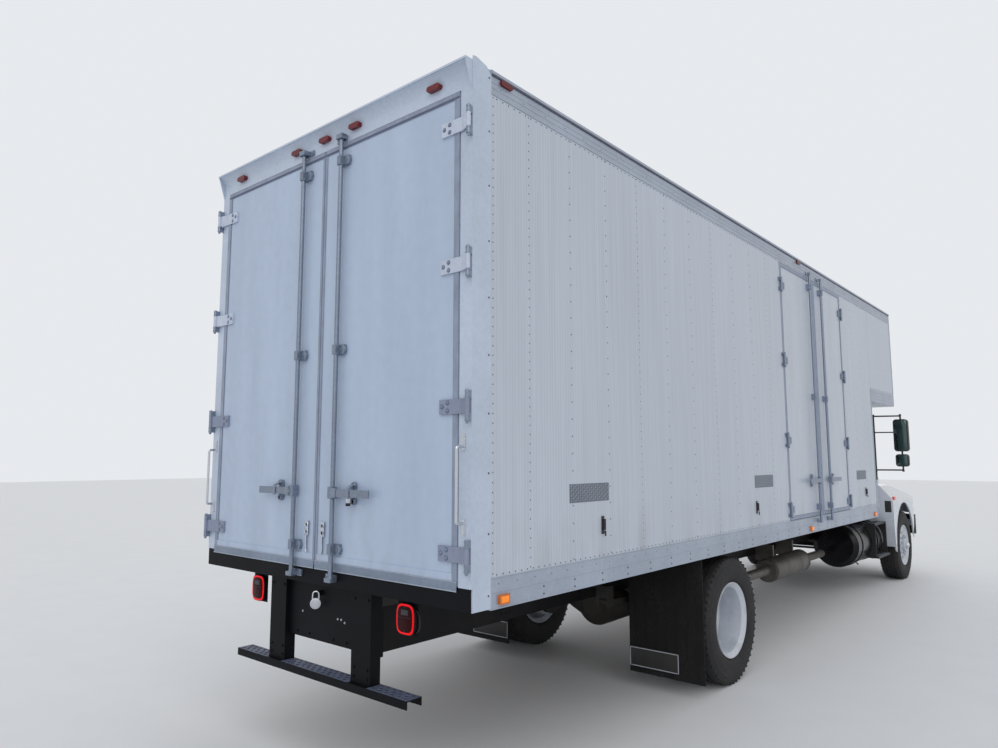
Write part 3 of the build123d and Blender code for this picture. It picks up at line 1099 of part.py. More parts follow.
def front_rim():
    """Left front rim with its domed disc, hub and hand holes."""
    y = FRONT_WHEEL_Y
    x, z = FRONT_AXLE_X, TYRE_RADIUS
    edge = TYRE_WIDTH / 2 - BEAD_INSET + SEAT + RIM_FLANGE
    lip = edge - RIM_FLANGE
    points = [(100, 95), (114, 95), (108, 160), (92, 225), (100, 262), (edge - 2, FLANGE_RADIUS - 6),
              (edge, FLANGE_RADIUS - 4), (edge, FLANGE_RADIUS), (lip, FLANGE_RADIUS), (lip, BEAD_RADIUS),
              (edge - 50, BEAD_RADIUS), (edge - 70, 262), (-edge + 70, 262), (-edge + 50, BEAD_RADIUS),
              (-lip, BEAD_RADIUS), (-lip, FLANGE_RADIUS), (-edge, FLANGE_RADIUS),
              (-edge, FLANGE_RADIUS - 4), (-edge + 4, FLANGE_RADIUS - 8), (-edge + 60, 250), (60, 250),
              (76, 225), (92, 160), (98, 95)]
    rim = turned(points, "y", (x, y, z))
    bore = FRONT_SPINDLE + SEAT
    hub = turned([(-60, bore), (-60, 110), (90, 110), (114, 95), (140, 95), (150, 60), (175, 55), (175, 0),
                  (60, 0), (30, bore)], "y", (x, y, z))
    body = joined(rim, hub)
    for index in range(10):
        hole = Pos(x, y + 90, z) * Rot(0, 36 * index, 0) * Pos(190, 0, 0) * Rot(90, 0, 0) * Cylinder(26, 90)
        body = body - hole
    return body


def knuckle():
    """Left steering knuckle with its kingpin, spindle, brake plate and steering arm."""
    x, y, z = FRONT_AXLE_X, KINGPIN_Y, TYRE_RADIUS
    pin = rod("z", x, y, 18, z - 100, z + 100)
    ears = []
    for low, high in ((z - 100, z - 58), (z + 58, z + 100)):
        ears.append(rod("z", x, y, 40, low, high))
        ears.append(block(x - 40, x + 40, y, y + 62, low, high))
    plate = block(x - 60, x + 60, y + 44, y + 62, z - 100, z + 100)
    backing = rod("y", x, z, 200, y + 62, y + 74)
    spindle = rod("y", x, z, FRONT_SPINDLE, y + 62, FRONT_WHEEL_Y + 25)
    arm = block(x - STEER_ARM, x, y - 18, y + 18, z - 100, z - 78)
    eye = rod("z", x - STEER_ARM, y, 26, z - 100, z - 78)
    hole = rod("z", x - STEER_ARM, y, STUD_RADIUS + SEAT, z - 110, z - 60)
    return joined(pin, *ears, plate, backing, spindle, arm, eye) - hole


def tie_rod():
    """Rod between the two steering arms with a stud in each arm's eye."""
    x = FRONT_AXLE_X - STEER_ARM
    level = TYRE_RADIUS - 125
    bar = rod("y", x, level, 18, -KINGPIN_Y, KINGPIN_Y)
    sockets = both(rod("z", x, KINGPIN_Y, 24, level - 20, level + 20))
    studs = both(rod("z", x, KINGPIN_Y, STUD_RADIUS, level, TYRE_RADIUS - 76))
    return joined(bar, *sockets, *studs)


def main():
    """Build every node and write it."""
    os.makedirs("parts", exist_ok=True)
    save("chassis_frame", chassis_frame())
    save("rear_bumper", rear_bumper())
    save("tail_lamps", *tail_lamps())
    save("leaf_springs", *leaf_springs())
    save("rear_axle", rear_axle())
    save("front_axle", front_axle())
    save("engine", engine())
    save("driveline", driveline())
    save("side_tanks", fuel_tank(), *battery_box())
    save("cab_steps", *cab_steps())
    save("exhaust", exhaust())
    save("front_bumper", front_bumper())
    save("mud_flaps", *mud_flaps())
    save("floor_deck", floor_deck())
    save("floor_frame", floor_frame())
    save("rear_frame", rear_frame())
    save("side_walls", side_wall_left(), side_wall_right())
    save("front_walls", front_walls())
    save("roof", roof())
    save("top_rails", top_rails())
    save("bottom_rails", *bottom_rails())
    save("marker_lamps", *marker_lamps())
    save("body_fittings", *body_fittings())
    save("grab_handles", *grab_handles())
    save("cab_shell", cab_shell())
    save("cab_glass", *cab_glass())
    save("cab_seats", *cab_seats())
    save("dashboard", dashboard())
    save("side_door_rear", side_door(-1))
    save("side_door_front", side_door(1))
    save("side_hardware_rear", *side_hardware(-1))
    save("side_hardware_front", *side_hardware(1))
    save("hood", hood())
    save("grille", grille())
    save("headlamps", *headlamps())
    save("tie_rod", tie_rod())
    for name, side in (("left", 1), ("right", -1)):
        turn = (lambda shape: shape) if side > 0 else mirrored
        save(f"rear_door_{name}", *rear_door(side))
        save(f"rear_hardware_{name}", *rear_hardware(side))
        save(f"cab_door_{name}", cab_door(side))
        save(f"door_glass_{name}", door_glass(side))
        save(f"mirror_{name}", mirror_set(side))
        save(f"knuckle_{name}", turn(knuckle()))
        save(f"front_rim_{name}", turn(front_rim()))
        save(f"front_tyre_{name}", tyre(FRONT_AXLE_X, side * FRONT_WHEEL_Y))
        save(f"rear_rims_{name}", turn(rear_rims()))
        save(f"rear_tyres_{name}", *[tyre(REAR_AXLE_X, side * (DUAL_Y + step * DUAL_SPACING / 2)) for step in (-1, 1)])


main()
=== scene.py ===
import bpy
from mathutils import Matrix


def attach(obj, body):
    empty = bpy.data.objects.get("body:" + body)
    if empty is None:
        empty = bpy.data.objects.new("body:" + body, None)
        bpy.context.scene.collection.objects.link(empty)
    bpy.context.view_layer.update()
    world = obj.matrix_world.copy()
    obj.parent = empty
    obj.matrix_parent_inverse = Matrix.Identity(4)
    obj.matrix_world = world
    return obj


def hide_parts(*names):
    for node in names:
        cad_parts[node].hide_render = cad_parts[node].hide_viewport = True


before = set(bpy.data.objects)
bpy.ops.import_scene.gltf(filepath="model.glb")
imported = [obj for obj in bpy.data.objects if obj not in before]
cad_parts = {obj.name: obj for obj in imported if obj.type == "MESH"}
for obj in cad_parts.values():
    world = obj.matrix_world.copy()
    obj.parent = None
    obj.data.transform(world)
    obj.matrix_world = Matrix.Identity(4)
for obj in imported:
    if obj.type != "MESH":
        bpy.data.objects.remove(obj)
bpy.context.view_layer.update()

import logging
import math
from dataclasses import dataclass
from enum import Enum
from typing import Iterable, Sequence, Union

import bmesh
import bpy
from mathutils import Matrix, Vector

LOG = logging.getLogger("box_truck")
DATUM_X = -5422.0
TO_FRAME = Matrix.Scale(0.001, 4) @ Matrix.Translation((DATUM_X, 0.0, 0.0))

Triple = tuple[float, float, float]
Pair = tuple[float, float]
Point = Sequence[float]
SIDES = ((1, "left"), (-1, "right"))

# Sizes that several sub-assemblies share, in millimetres
FRONT_AXLE_X = 9908.0
REAR_AXLE_X = 3200.0
AXLE_Z = 505.0
FRONT_WHEEL_Y = 1040.0
DUAL_Y = 980.0
SKIN_Y = 1291.5
CAB_REAR_X = 8180.0
CAB_FRONT_X = 9220.0


def srgb(red: int, green: int, blue: int) -> Triple:
    """Colour as it is written on screen, 0 to 255, as linear light.

    Args:
        red: Red part.
        green: Green part.
        blue: Blue part.

    Returns:
        The three linear parts.
    """
    parts = [value / 255 for value in (red, green, blue)]
    return tuple(v / 12.92 if v <= 0.04045 else ((v + 0.055) / 1.055) ** 2.4 for v in parts)


def toned(colour: Triple, factor: float) -> Triple:
    """Colour times a factor, kept within 1."""
    return tuple(min(1.0, part * factor) for part in colour)


class Mask:
    """A number that varies over a surface; arithmetic on it adds Math nodes."""

    def __init__(self, recipe: "Recipe", socket: bpy.types.NodeSocket) -> None:
        """Wrap one socket of a recipe."""
        self.recipe = recipe
        self.socket = socket

    def maths(self, operation: str, *values: Union["Mask", float]) -> "Mask":
        """One Math node.

        Args:
            operation: Name of the Math operation.
            values: Its inputs in order.

        Returns:
            The result.
        """
        node = self.recipe.node("ShaderNodeMath", {"operation": operation}, dict(enumerate(values)))
        return Mask(self.recipe, node.outputs[0])

    def __add__(self, other: Union["Mask", float]) -> "Mask":
        """Sum."""
        return self.maths("ADD", self, other)

    __radd__ = __add__

    def __sub__(self, other: Union["Mask", float]) -> "Mask":
        """Difference."""
        return self.maths("SUBTRACT", self, other)

    def __rsub__(self, other: float) -> "Mask":
        """Difference from a plain number."""
        return self.maths("SUBTRACT", other, self)

    def __mul__(self, other: Union["Mask", float]) -> "Mask":
        """Product."""
        return self.maths("MULTIPLY", self, other)

    def __truediv__(self, other: Union["Mask", float]) -> "Mask":
        """Quotient."""
        return self.maths("DIVIDE", self, other)

    def above(self, edge: float) -> "Mask":
        """1 where the value is over the edge."""
        return self.maths("GREATER_THAN", self, edge)

    def below(self, edge: float) -> "Mask":
        """1 where the value is under the edge."""
        return self.maths("LESS_THAN", self, edge)

    def most(self, other: Union["Mask", float]) -> "Mask":
        """The greater of two."""
        return self.maths("MAXIMUM", self, other)

    def size(self) -> "Mask":
        """Value without its sign."""
        return self.maths("ABSOLUTE", self)

    def whole(self) -> "Mask":
        """Whole part of the value."""
        return self.maths("FLOOR", self)

    def part(self) -> "Mask":
        """What is left over the whole part."""
        return self.maths("FRACT", self)

    def waves(self, pitch: float) -> "Mask":
        """0 to 1 wave along the value, one crest per pitch."""
        return self.maths("SINE", self * (math.tau / pitch)) * 0.5 + 0.5

    def within(self, low: float, high: float) -> "Mask":
        """1 between two edges."""
        return self.above(low) * self.below(high)

    def ramp(self, low: float, high: float) -> "Mask":
        """0 at low, 1 at high and straight between, kept within 0 and 1."""
        node = self.recipe.node("ShaderNodeMapRange", {"clamp": True}, {0: self, 1: low, 2: high})
        return Mask(self.recipe, node.outputs[0])


Value = Union[Mask, bpy.types.NodeSocket, float, Point]


def feed(socket: bpy.types.NodeSocket, value: Value) -> None:
    """Link or set one input."""
    if isinstance(value, Mask):
        value = value.socket
    if isinstance(value, bpy.types.NodeSocket):
        socket.id_data.links.new(value, socket)
    elif isinstance(value, (int, float)):
        socket.default_value = value
    else:
        socket.default_value = (*value, 1.0) if socket.type == "RGBA" else tuple(value)


def grow(tree: bpy.types.NodeTree, kind: str, settings: dict | None = None,
         sockets: dict | None = None) -> bpy.types.Node:
    """Any node of a tree.

    Args:
        tree: Where it goes.
        kind: Its type.
        settings: Its own settings, set first.
        sockets: Values or links of its inputs, by name or number.

    Returns:
        The node.
    """
    made = tree.nodes.new(kind)
    for key, value in (settings or {}).items():
        setattr(made, key, value)
    for key, value in (sockets or {}).items():
        feed(made.inputs[key], value)
    return made


class Recipe:
    """Nodes of one material, with its Principled shader at the end."""

    def __init__(self, name: str, **surface: Value) -> None:
        """Start a material.

        Args:
            name: Its name.
            surface: Values for the shader's own sockets, with _ for spaces.
        """
        self.material = bpy.data.materials.new(name)
        self.material.use_nodes = True
        self.tree = self.material.node_tree
        self.tree.nodes.clear()
        self.shader = self.node("ShaderNodeBsdfPrincipled")
        self.node("ShaderNodeOutputMaterial", None, {"Surface": self.shader.outputs[0]})
        self.place = self.node("ShaderNodeTexCoord").outputs["Object"]
        parts = self.node("ShaderNodeSeparateXYZ", None, {0: self.place})
        self.x, self.y, self.z = (Mask(self, socket) for socket in parts.outputs)
        self.give(**surface)

    def node(self, kind: str, settings: dict | None = None,
             sockets: dict | None = None) -> bpy.types.Node:
        """Any node of the recipe."""
        return grow(self.tree, kind, settings, sockets)

    def give(self, **surface: Value) -> None:
        """Set the shader's sockets, named with _ for spaces."""
        for key, value in surface.items():
            feed(self.shader.inputs[key.replace("_", " ")], value)

    def noise(self, scale: float, detail: float = 2.0, stretch: Triple = (1.0, 1.0, 1.0)) -> Mask:
        """Soft noise, drawn out along the axes whose stretch is small."""
        where = self.node("ShaderNodeMapping", None, {"Vector": self.place, "Scale": stretch}).outputs[0]
        made = self.node("ShaderNodeTexNoise", None, {"Vector": where, "Scale": scale, "Detail": detail})
        return Mask(self, made.outputs[0])

    def cells(self, scale: float) -> Mask:
        """Distance to the nearest point of scattered cells."""
        made = self.node("ShaderNodeTexVoronoi", None, {"Vector": self.place, "Scale": scale})
        return Mask(self, made.outputs[0])

    def mix(self, mask: Value, first: Value, second: Value) -> bpy.types.NodeSocket:
        """Colour between two by a mask."""
        made = self.node("ShaderNodeMix", {"data_type": "RGBA"}, {0: mask, 6: first, 7: second})
        return made.outputs[2]

    def relief(self, height: Mask, strength: float, depth: float = 0.001) -> None:
        """Bump the surface by a height."""
        sockets = {"Strength": strength, "Distance": depth, "Height": height}
        self.give(Normal=self.node("ShaderNodeBump", None, sockets).outputs[0])


class Grain(Enum):
    """Fine surface of a finish."""

    PEEL = "sprayed paint"
    SPANGLE = "zinc spangle"
    BRUSHED = "drawn lengthways"
    CAST = "rough casting"
    PEBBLE = "moulded plastic"
    SMOOTH = "polished"


@dataclass(frozen=True)
class Coat:
    """A plain finish with its grain, its uneven colour, and grime low down and in patches."""

    name: str
    colour: Triple
    roughness: float = 0.4
    metallic: float = 0.0
    coat: float = 0.0
    grain: Grain = Grain.PEEL
    uneven: float = 0.06
    grime: float = 0.25
    grime_colour: Triple = (0.07, 0.062, 0.052)
    grime_top: float = 1.3
    specular: float = 0.5

    def material(self) -> bpy.types.Material:
        """Build the finish's nodes.

        Returns:
            The material.
        """
        r = Recipe(self.name, Metallic=self.metallic, Coat_Weight=self.coat, Coat_Roughness=0.08,
                   Specular_IOR_Level=self.specular)
        patches = r.noise(2.3, 4.0)
        fine = r.noise(38.0, 3.0)
        dark = toned(self.colour, 1 - self.uneven * 2.4)
        light = toned(self.colour, 1 + self.uneven)
        colour = r.mix((patches * 0.65 + fine * 0.35).ramp(0.32, 0.68), dark, light)
        low = (1.0 - r.z / self.grime_top).most(0.0)
        dirt = (r.noise(7.0, 6.0, (1.0, 1.0, 0.45)).ramp(0.45, 0.78) * (low * 0.9 + 0.12)) * self.grime
        r.give(Base_Color=r.mix(dirt, colour, self.grime_colour))
        r.give(Roughness=self.roughness + dirt * 0.4 + (fine - 0.5) * 0.12)
        if self.grain is Grain.PEEL:
            r.relief(r.noise(260.0, 2.0), 0.05, 0.0006)
        elif self.grain is Grain.SPANGLE:
            flakes = r.cells(55.0)
            r.give(Base_Color=r.mix(dirt, r.mix(flakes.ramp(0.1, 0.8), dark, light), self.grime_colour))
            r.relief(flakes + r.noise(120.0, 3.0), 0.12, 0.0008)
        elif self.grain is Grain.BRUSHED:
            r.relief(r.noise(30.0, 4.0, (0.4, 22.0, 22.0)), 0.12, 0.0006)
        elif self.grain is Grain.CAST:
            r.relief(r.noise(90.0, 6.0) + r.cells(140.0) * 0.5, 0.5, 0.0015)
        elif self.grain is Grain.PEBBLE:
            r.relief(r.cells(420.0), 0.25, 0.0006)
        return r.material


@dataclass(frozen=True)
class PanelSheet:
    """Painted sheet of the load body's sides: faint upright ribs, their shading also painted into the
    colour, uneven shade, boards inside.
    """

    name: str = "panel_sheet"
    # Pale grey-blue: white sheet paint with a painted sky reflection.
    colour: Triple = srgb(190, 199, 212)
    lining: Triple = srgb(196, 160, 112)
    lining_y: float = 1.248

    def across(self, r: Recipe) -> Mask:
        """Way along the sheet that its ribs are spaced."""
        return r.x

    def inside(self, r: Recipe) -> Mask:
        """1 on the lining."""
        return r.y.size().below(self.lining_y)

    def material(self) -> bpy.types.Material:
        """Build the finish's nodes."""
        r = Recipe(self.name, Roughness=0.42, Coat_Weight=0.15, Coat_Roughness=0.2)
        streaks = r.noise(5.0, 5.0, (7.0, 7.0, 0.16))
        patches = r.noise(0.9, 3.0, (1.0, 1.0, 0.4))
        ribs = self.across(r).waves(0.0262)
        # The ribs darken the colour in upright stripes: painted shading of the ribs, mixed with uneven
        # tone.
        shade = (streaks * 0.5 + patches * 0.35 + ribs * 0.15).ramp(0.3, 0.72)
        outer = r.mix(shade, toned(self.colour, 0.86), toned(self.colour, 1.05))
        splash = (1.55 - r.z).most(0.0) * r.noise(6.0, 6.0, (1.0, 1.0, 0.3)).ramp(0.42, 0.8)
        outer = r.mix(splash * 0.9, outer, (0.16, 0.15, 0.14))
        grain = r.noise(9.0, 6.0, (0.5, 6.0, 6.0))
        board = r.mix(grain.ramp(0.35, 0.65), toned(self.lining, 0.62), self.lining)
        inside = self.inside(r)
        r.give(Base_Color=r.mix(inside, outer, board), Roughness=inside * 0.2 + 0.4)
        r.relief(ribs * 0.6 + r.noise(3.0, 2.0, (1.0, 1.0, 0.3)) * 2.0, 0.22, 0.0012)
        return r.material


@dataclass(frozen=True)
class NoseSheet(PanelSheet):
    """Painted sheet of the bulkhead, the attic's underside and the nose, lined behind."""

    name: str = "nose_sheet"
    nose_x: float = (9215.0 + DATUM_X) / 1000
    bulkhead_x: float = (7920.0 + DATUM_X) / 1000
    attic_z: float = 2.585

    def across(self, r: Recipe) -> Mask:
        """Way along the sheet that its ribs are spaced."""
        return r.y

    def inside(self, r: Recipe) -> Mask:
        """1 on the lining."""
        return 1.0 - r.x.above(self.nose_x).most(r.x.above(self.bulkhead_x) * r.z.below(self.attic_z))


@dataclass(frozen=True)
class LeafPaint:
    """Door leaf: smooth painted face, grey seal round it, boards behind."""

    name: str
    # Blue-grey: the leaves' white paint with a painted sky reflection, darker and bluer than white.
    colour: Triple = srgb(178, 194, 218)
    seal: Triple = srgb(146, 158, 180)
    side: bool = False
    plain_below: float = 1.246
    seal_reach: Pair = (0.0225, 1.1672)

    def material(self) -> bpy.types.Material:
        """Build the finish's nodes."""
        r = Recipe(self.name, Roughness=0.38, Coat_Weight=0.2, Coat_Roughness=0.15)
        streaks = r.noise(2.4, 4.0, (2.2, 2.2, 0.3))
        shade = (streaks * 0.7 + r.noise(14.0, 3.0) * 0.3).ramp(0.34, 0.7)
        face = r.mix(shade, toned(self.colour, 0.9), toned(self.colour, 1.04))
        if self.side:
            ribs = r.x.waves(0.0262)
            # Upright stripes darker at the ribs: painted shading of the ribs.
            face = r.mix(ribs * 0.12, face, toned(self.colour, 0.8))
            out = r.y * -1.0
            proud, behind = out.above(1.2930), out.below(1.2800)
        else:
            ribs = r.noise(2.0, 2.0)
            proud, behind = r.x.below(DATUM_X / 1000 - 0.0005), r.x.above(DATUM_X / 1000 + 0.0105)
        splash = (1.6 - r.z).most(0.0) * r.noise(6.0, 6.0, (1.0, 1.0, 0.35)).ramp(0.45, 0.85)
        face = r.mix(splash * 0.7, face, (0.18, 0.17, 0.16))
        stains = r.noise(24.0, 4.0, (1, 1, 0.4)).ramp(0.3, 0.7)
        seal = r.mix(stains, toned(self.seal, 0.75), self.seal)
        low = r.z.below(self.plain_below) * r.y.size().within(*self.seal_reach)
        seal = r.mix(low, seal, face)
        grain = r.noise(9.0, 6.0, (6.0, 6.0, 0.5)).ramp(0.35, 0.65)
        board = r.mix(grain, (0.42, 0.31, 0.17), (0.60, 0.47, 0.29))
        colour = r.mix(proud, r.mix(behind, face, board), seal)
        r.give(Base_Color=colour, Roughness=proud * 0.2 + 0.36)
        r.relief(ribs + r.noise(200.0, 2.0) * 0.1, 0.06, 0.001)
        return r.material


@dataclass(frozen=True)
class Lens:
    """Moulded lamp lens with fine flutes, lit a little from within."""

    name: str
    colour: Triple
    glow: float = 0.25
    gloss: float = 1.0

    def material(self) -> bpy.types.Material:
        """Build the finish's nodes."""
        r = Recipe(self.name, Roughness=0.14, Coat_Weight=self.gloss, Coat_Roughness=0.04,
                   Specular_IOR_Level=self.gloss / 2)
        flutes = (r.x + r.y).waves(0.006) * r.z.waves(0.006)
        colour = r.mix(flutes, toned(self.colour, 0.45), self.colour)
        r.give(Base_Color=colour, Emission_Color=colour, Emission_Strength=self.glow)
        r.relief(flutes, 0.5, 0.001)
        return r.material


@dataclass(frozen=True)
class Pane:
    """Tinted window glass with a thin film of dust."""

    name: str
    tint: Triple = (0.32, 0.40, 0.40)
    see_through: float = 0.3

    def material(self) -> bpy.types.Material:
        """Build the finish's nodes."""
        r = Recipe(self.name, Roughness=0.04, IOR=1.5, Coat_Weight=1.0, Coat_Roughness=0.02)
        dust = r.noise(5.0, 5.0).ramp(0.45, 0.85)
        r.give(Base_Color=r.mix(dust * 0.3, toned(self.tint, 0.16), self.tint))
        r.give(Alpha=dust * 0.12 + (1 - self.see_through))
        r.material.surface_render_method = "BLENDED"
        return r.material


@dataclass(frozen=True)
class Rubber:
    """Tyre or flap rubber: matt, dusty, paler where it is scuffed."""

    name: str
    colour: Triple = (0.022, 0.022, 0.024)
    dust: Triple = (0.13, 0.12, 0.11)
    amount: float = 0.5

    def material(self) -> bpy.types.Material:
        """Build the finish's nodes."""
        r = Recipe(self.name, Roughness=0.72, Specular_IOR_Level=0.25)
        patches = r.noise(6.0, 6.0).ramp(0.4, 0.8)
        film = r.noise(60.0, 4.0).ramp(0.35, 0.75)
        r.give(Base_Color=r.mix(patches * film * self.amount, self.colour, self.dust))
        r.give(Roughness=patches * 0.18 + 0.66)
        r.relief(r.noise(300.0, 3.0) + film * 0.5, 0.2, 0.0006)
        return r.material


@dataclass(frozen=True)
class Boards:
    """Oiled hardwood floor in long narrow strips."""

    name: str = "floor_boards"
    strip: float = 0.032

    def material(self) -> bpy.types.Material:
        """Build the finish's nodes."""
        r = Recipe(self.name, Roughness=0.5, Coat_Weight=0.1)
        across = r.y / self.strip
        tone = (across.whole() * 0.618).part()
        grain = r.noise(12.0, 6.0, (0.35, 9.0, 9.0)).ramp(0.3, 0.7)
        colour = r.mix(tone * 0.6 + grain * 0.4, (0.19, 0.10, 0.045), (0.42, 0.27, 0.14))
        seam = across.part().below(0.05)
        r.give(Base_Color=r.mix(seam, colour, (0.04, 0.025, 0.015)))
        r.relief(grain - seam * 2.0, 0.3, 0.0012)
        return r.material


@dataclass(frozen=True)
class SeatCloth:
    """Woven seat cloth with a vinyl edge."""

    name: str = "seat_cloth"
    colour: Triple = (0.055, 0.058, 0.066)

    def material(self) -> bpy.types.Material:
        """Build the finish's nodes."""
        r = Recipe(self.name, Roughness=0.85, Sheen_Weight=0.3, Sheen_Roughness=0.5)
        weave = r.x.waves(0.005) * r.y.waves(0.005) + r.z.waves(0.005) * 0.5
        fleck = r.noise(160.0, 2.0).ramp(0.35, 0.7)
        r.give(Base_Color=r.mix(weave * 0.5 + fleck * 0.5, toned(self.colour, 0.5),
                                toned(self.colour, 1.9)))
        r.relief(weave, 0.5, 0.001)
        return r.material


@dataclass(frozen=True)
class DoorHardware:
    """Zinc-plated rods and locks with painted hinge straps: white above, and below a grey-lilac painted
    reflection.
    """

    name: str
    zinc: Triple = srgb(140, 152, 170)
    white: Triple = srgb(196, 206, 224)
    lower_strap_reflection: Triple = srgb(136, 146, 170)
    straps_from: float = 1.05
    white_from: float = 2.45

    def material(self) -> bpy.types.Material:
        """Build the finish's nodes."""
        r = Recipe(self.name, Coat_Roughness=0.1)
        strap = r.y.size().above(self.straps_from)
        fine = r.noise(38.0, 3.0) * 0.5 + r.noise(5.0, 4.0) * 0.5
        # Straps below white_from get a grey-lilac painted reflection instead of white.
        paint = r.mix(r.z.above(self.white_from), self.lower_strap_reflection, self.white)
        flakes = r.mix(r.cells(55.0).ramp(0.1, 0.8), toned(self.zinc, 0.88), self.zinc)
        colour = r.mix(strap, flakes, paint)
        dirt = fine.ramp(0.42, 0.75) * 0.22
        r.give(Base_Color=r.mix(dirt, colour, (0.07, 0.065, 0.06)))
        r.give(Roughness=strap * 0.06 + dirt * 0.4 + 0.33, Metallic=strap * -0.65 + 0.7)
        r.relief(fine + r.noise(150.0, 3.0) * 0.3, 0.1, 0.0008)
        return r.material


@dataclass(frozen=True)
class ByPlace:
    """Two plain finishes on one node, parted by a plane across one axis of the truck."""

    name: str
    low: Coat
    high: Coat
    axis: str
    level: float
    relief: float = 0.1

    def material(self) -> bpy.types.Material:
        """Build the finish's nodes."""
        r = Recipe(self.name, Coat_Roughness=0.08)
        where = {"x": r.x, "y": r.y, "z": r.z}[self.axis].above(self.level)
        fine = r.noise(38.0, 3.0) * 0.5 + r.noise(5.0, 4.0) * 0.5
        shades = []
        for side in (self.low, self.high):
            dark = toned(side.colour, 1 - side.uneven * 2.4)
            shades.append(r.mix(fine.ramp(0.3, 0.7), dark, side.colour))
        dirt = r.noise(7.0, 6.0).ramp(0.45, 0.78) * self.low.grime
        colour = r.mix(where, shades[0], shades[1])
        r.give(Base_Color=r.mix(dirt, colour, self.low.grime_colour))
        rough = where * (self.high.roughness - self.low.roughness) + self.low.roughness
        metal = where * (self.high.metallic - self.low.metallic) + self.low.metallic
        r.give(Roughness=rough + dirt * 0.3, Metallic=metal)
        r.relief(r.noise(150.0, 3.0), self.relief, 0.0008)
        return r.material


FRAME_PAINT = Coat("frame_paint", (0.007, 0.007, 0.009), 0.5, grime=0.3, uneven=0.1, specular=0.18)
CAST_STEEL = Coat("cast_steel", (0.05, 0.047, 0.044), 0.7, 0.3, grain=Grain.CAST, grime=0.7, uneven=0.15)
ZINC = Coat("zinc_plate", srgb(140, 152, 170), 0.34, 0.7, grain=Grain.SPANGLE, grime=0.15, uneven=0.05)
BOLT_STEEL = Coat("bolt_steel", srgb(104, 112, 124), 0.35, 0.9, uneven=0.1, grime=0.2)
RIVET_DARK = Coat("rivet_heads", srgb(92, 102, 118), 0.45, 0.5, grime=0.1)
RAIL_ALU = Coat("rail_aluminium", srgb(172, 182, 198), 0.34, 0.45, grain=Grain.BRUSHED, grime=0.25,
                uneven=0.07)
ROOF_ALU = Coat("roof_aluminium", srgb(186, 192, 200), 0.42, 0.5, grain=Grain.BRUSHED, grime=0.3)
POST_PAINT = Coat("post_paint", srgb(190, 203, 222), 0.35, 0.0, 0.2, grime=0.2)
CAB_PAINT = Coat("cab_paint", srgb(206, 212, 222), 0.25, 0.0, 0.8, grime=0.3, uneven=0.03)
BLACK_PLASTIC = Coat("black_plastic", (0.02, 0.02, 0.022), 0.45, grain=Grain.PEBBLE, grime=0.3)
CHROME = Coat("chrome", srgb(216, 220, 226), 0.1, 1.0, grain=Grain.SMOOTH, uneven=0.03, grime=0.12)
BRIGHT = Coat("bright_steel", srgb(196, 200, 208), 0.3, 0.55, grain=Grain.BRUSHED, uneven=0.05, grime=0.1)
STEP_METAL = Coat("step_metal", srgb(120, 132, 150), 0.45, 0.6, grain=Grain.SPANGLE, grime=0.45,
                  uneven=0.12)
RIM_PAINT = Coat("rim_paint", srgb(196, 202, 212), 0.35, 0.0, 0.3, grime=0.45)
ALU_SHEET = Coat("exhaust_sheet", srgb(120, 118, 114), 0.5, 0.7, grain=Grain.CAST, grime=0.6,
                 uneven=0.15)
DASH_PLASTIC = Coat("dash_plastic", (0.045, 0.046, 0.05), 0.55, grain=Grain.PEBBLE, grime=0.05)
# Near black: dark seams and parts, and painted shade in holes and ring eyes.
DARK_PARTS_AND_SHADE = Coat("dark_parts_and_hollow_shade", (0.012, 0.012, 0.014), 0.7, grime=0.05)
CLEAR_LENS = Lens("clear_lens", (0.80, 0.83, 0.86), 0.05)
TYRE_RUBBER = Rubber("tyre_rubber")
FLAP_RUBBER = Rubber("flap_rubber", (0.008, 0.008, 0.009), amount=0.2)
# Seal grey darkened: seal lips, and painted shadow lines along seal edges.
SEAL_LIP_SHADOW = Rubber("seal_lip_shadow", srgb(128, 138, 162), (0.16, 0.17, 0.20), amount=0.3)
SEAL_SHADE = Rubber("seal_shade", srgb(92, 98, 122), (0.12, 0.12, 0.14), amount=0.3)
SEAL_RUBBER = Rubber("seal_rubber", (0.03, 0.03, 0.034), amount=0.15)
MIRROR_GLASS = Coat("mirror_glass", (0.10, 0.15, 0.14), 0.04, 1.0, grain=Grain.SMOOTH, grime=0.08)
MARKERS = ByPlace("marker_lenses", Coat("marker_amber", (0.86, 0.24, 0.05), 0.2, uneven=0.2, grime=0.1),
                  Coat("marker_red", (0.22, 0.006, 0.016), 0.2, uneven=0.3, grime=0.1), "z", 3.0)
STEEL_BLACK = Coat("sill_paint", (0.0045, 0.005, 0.0075), 0.5, uneven=0.12, grime=0.12,
                   grime_colour=(0.04, 0.04, 0.046), specular=0.12)
# Bluish grey top of the black step: painted sky light on its top face, with grime.
STEP_TOP = Coat("step_top", srgb(104, 114, 142), 0.5, 0.3, grain=Grain.SPANGLE, uneven=0.14, grime=0.55,
                grime_colour=(0.012, 0.012, 0.016))
STRAP_BOLTS = Coat("strap_bolts", srgb(128, 142, 172), 0.35, 0.35, uneven=0.1, grime=0.1)
STRIP_ALU = Coat("strip_aluminium", srgb(132, 146, 166), 0.4, 0.25, grain=Grain.BRUSHED, uneven=0.1,
                 grime=0.2)
BOX_BLACK = Coat("box_black", (0.03, 0.03, 0.032), 0.5)
TANK_DARK = Coat("tank_dark", srgb(30, 31, 36), 0.22, 0.6, grain=Grain.BRUSHED, uneven=0.08, grime=0.3)
TANKS = ByPlace("tank_and_box", TANK_DARK, BOX_BLACK, "y", 0.0)

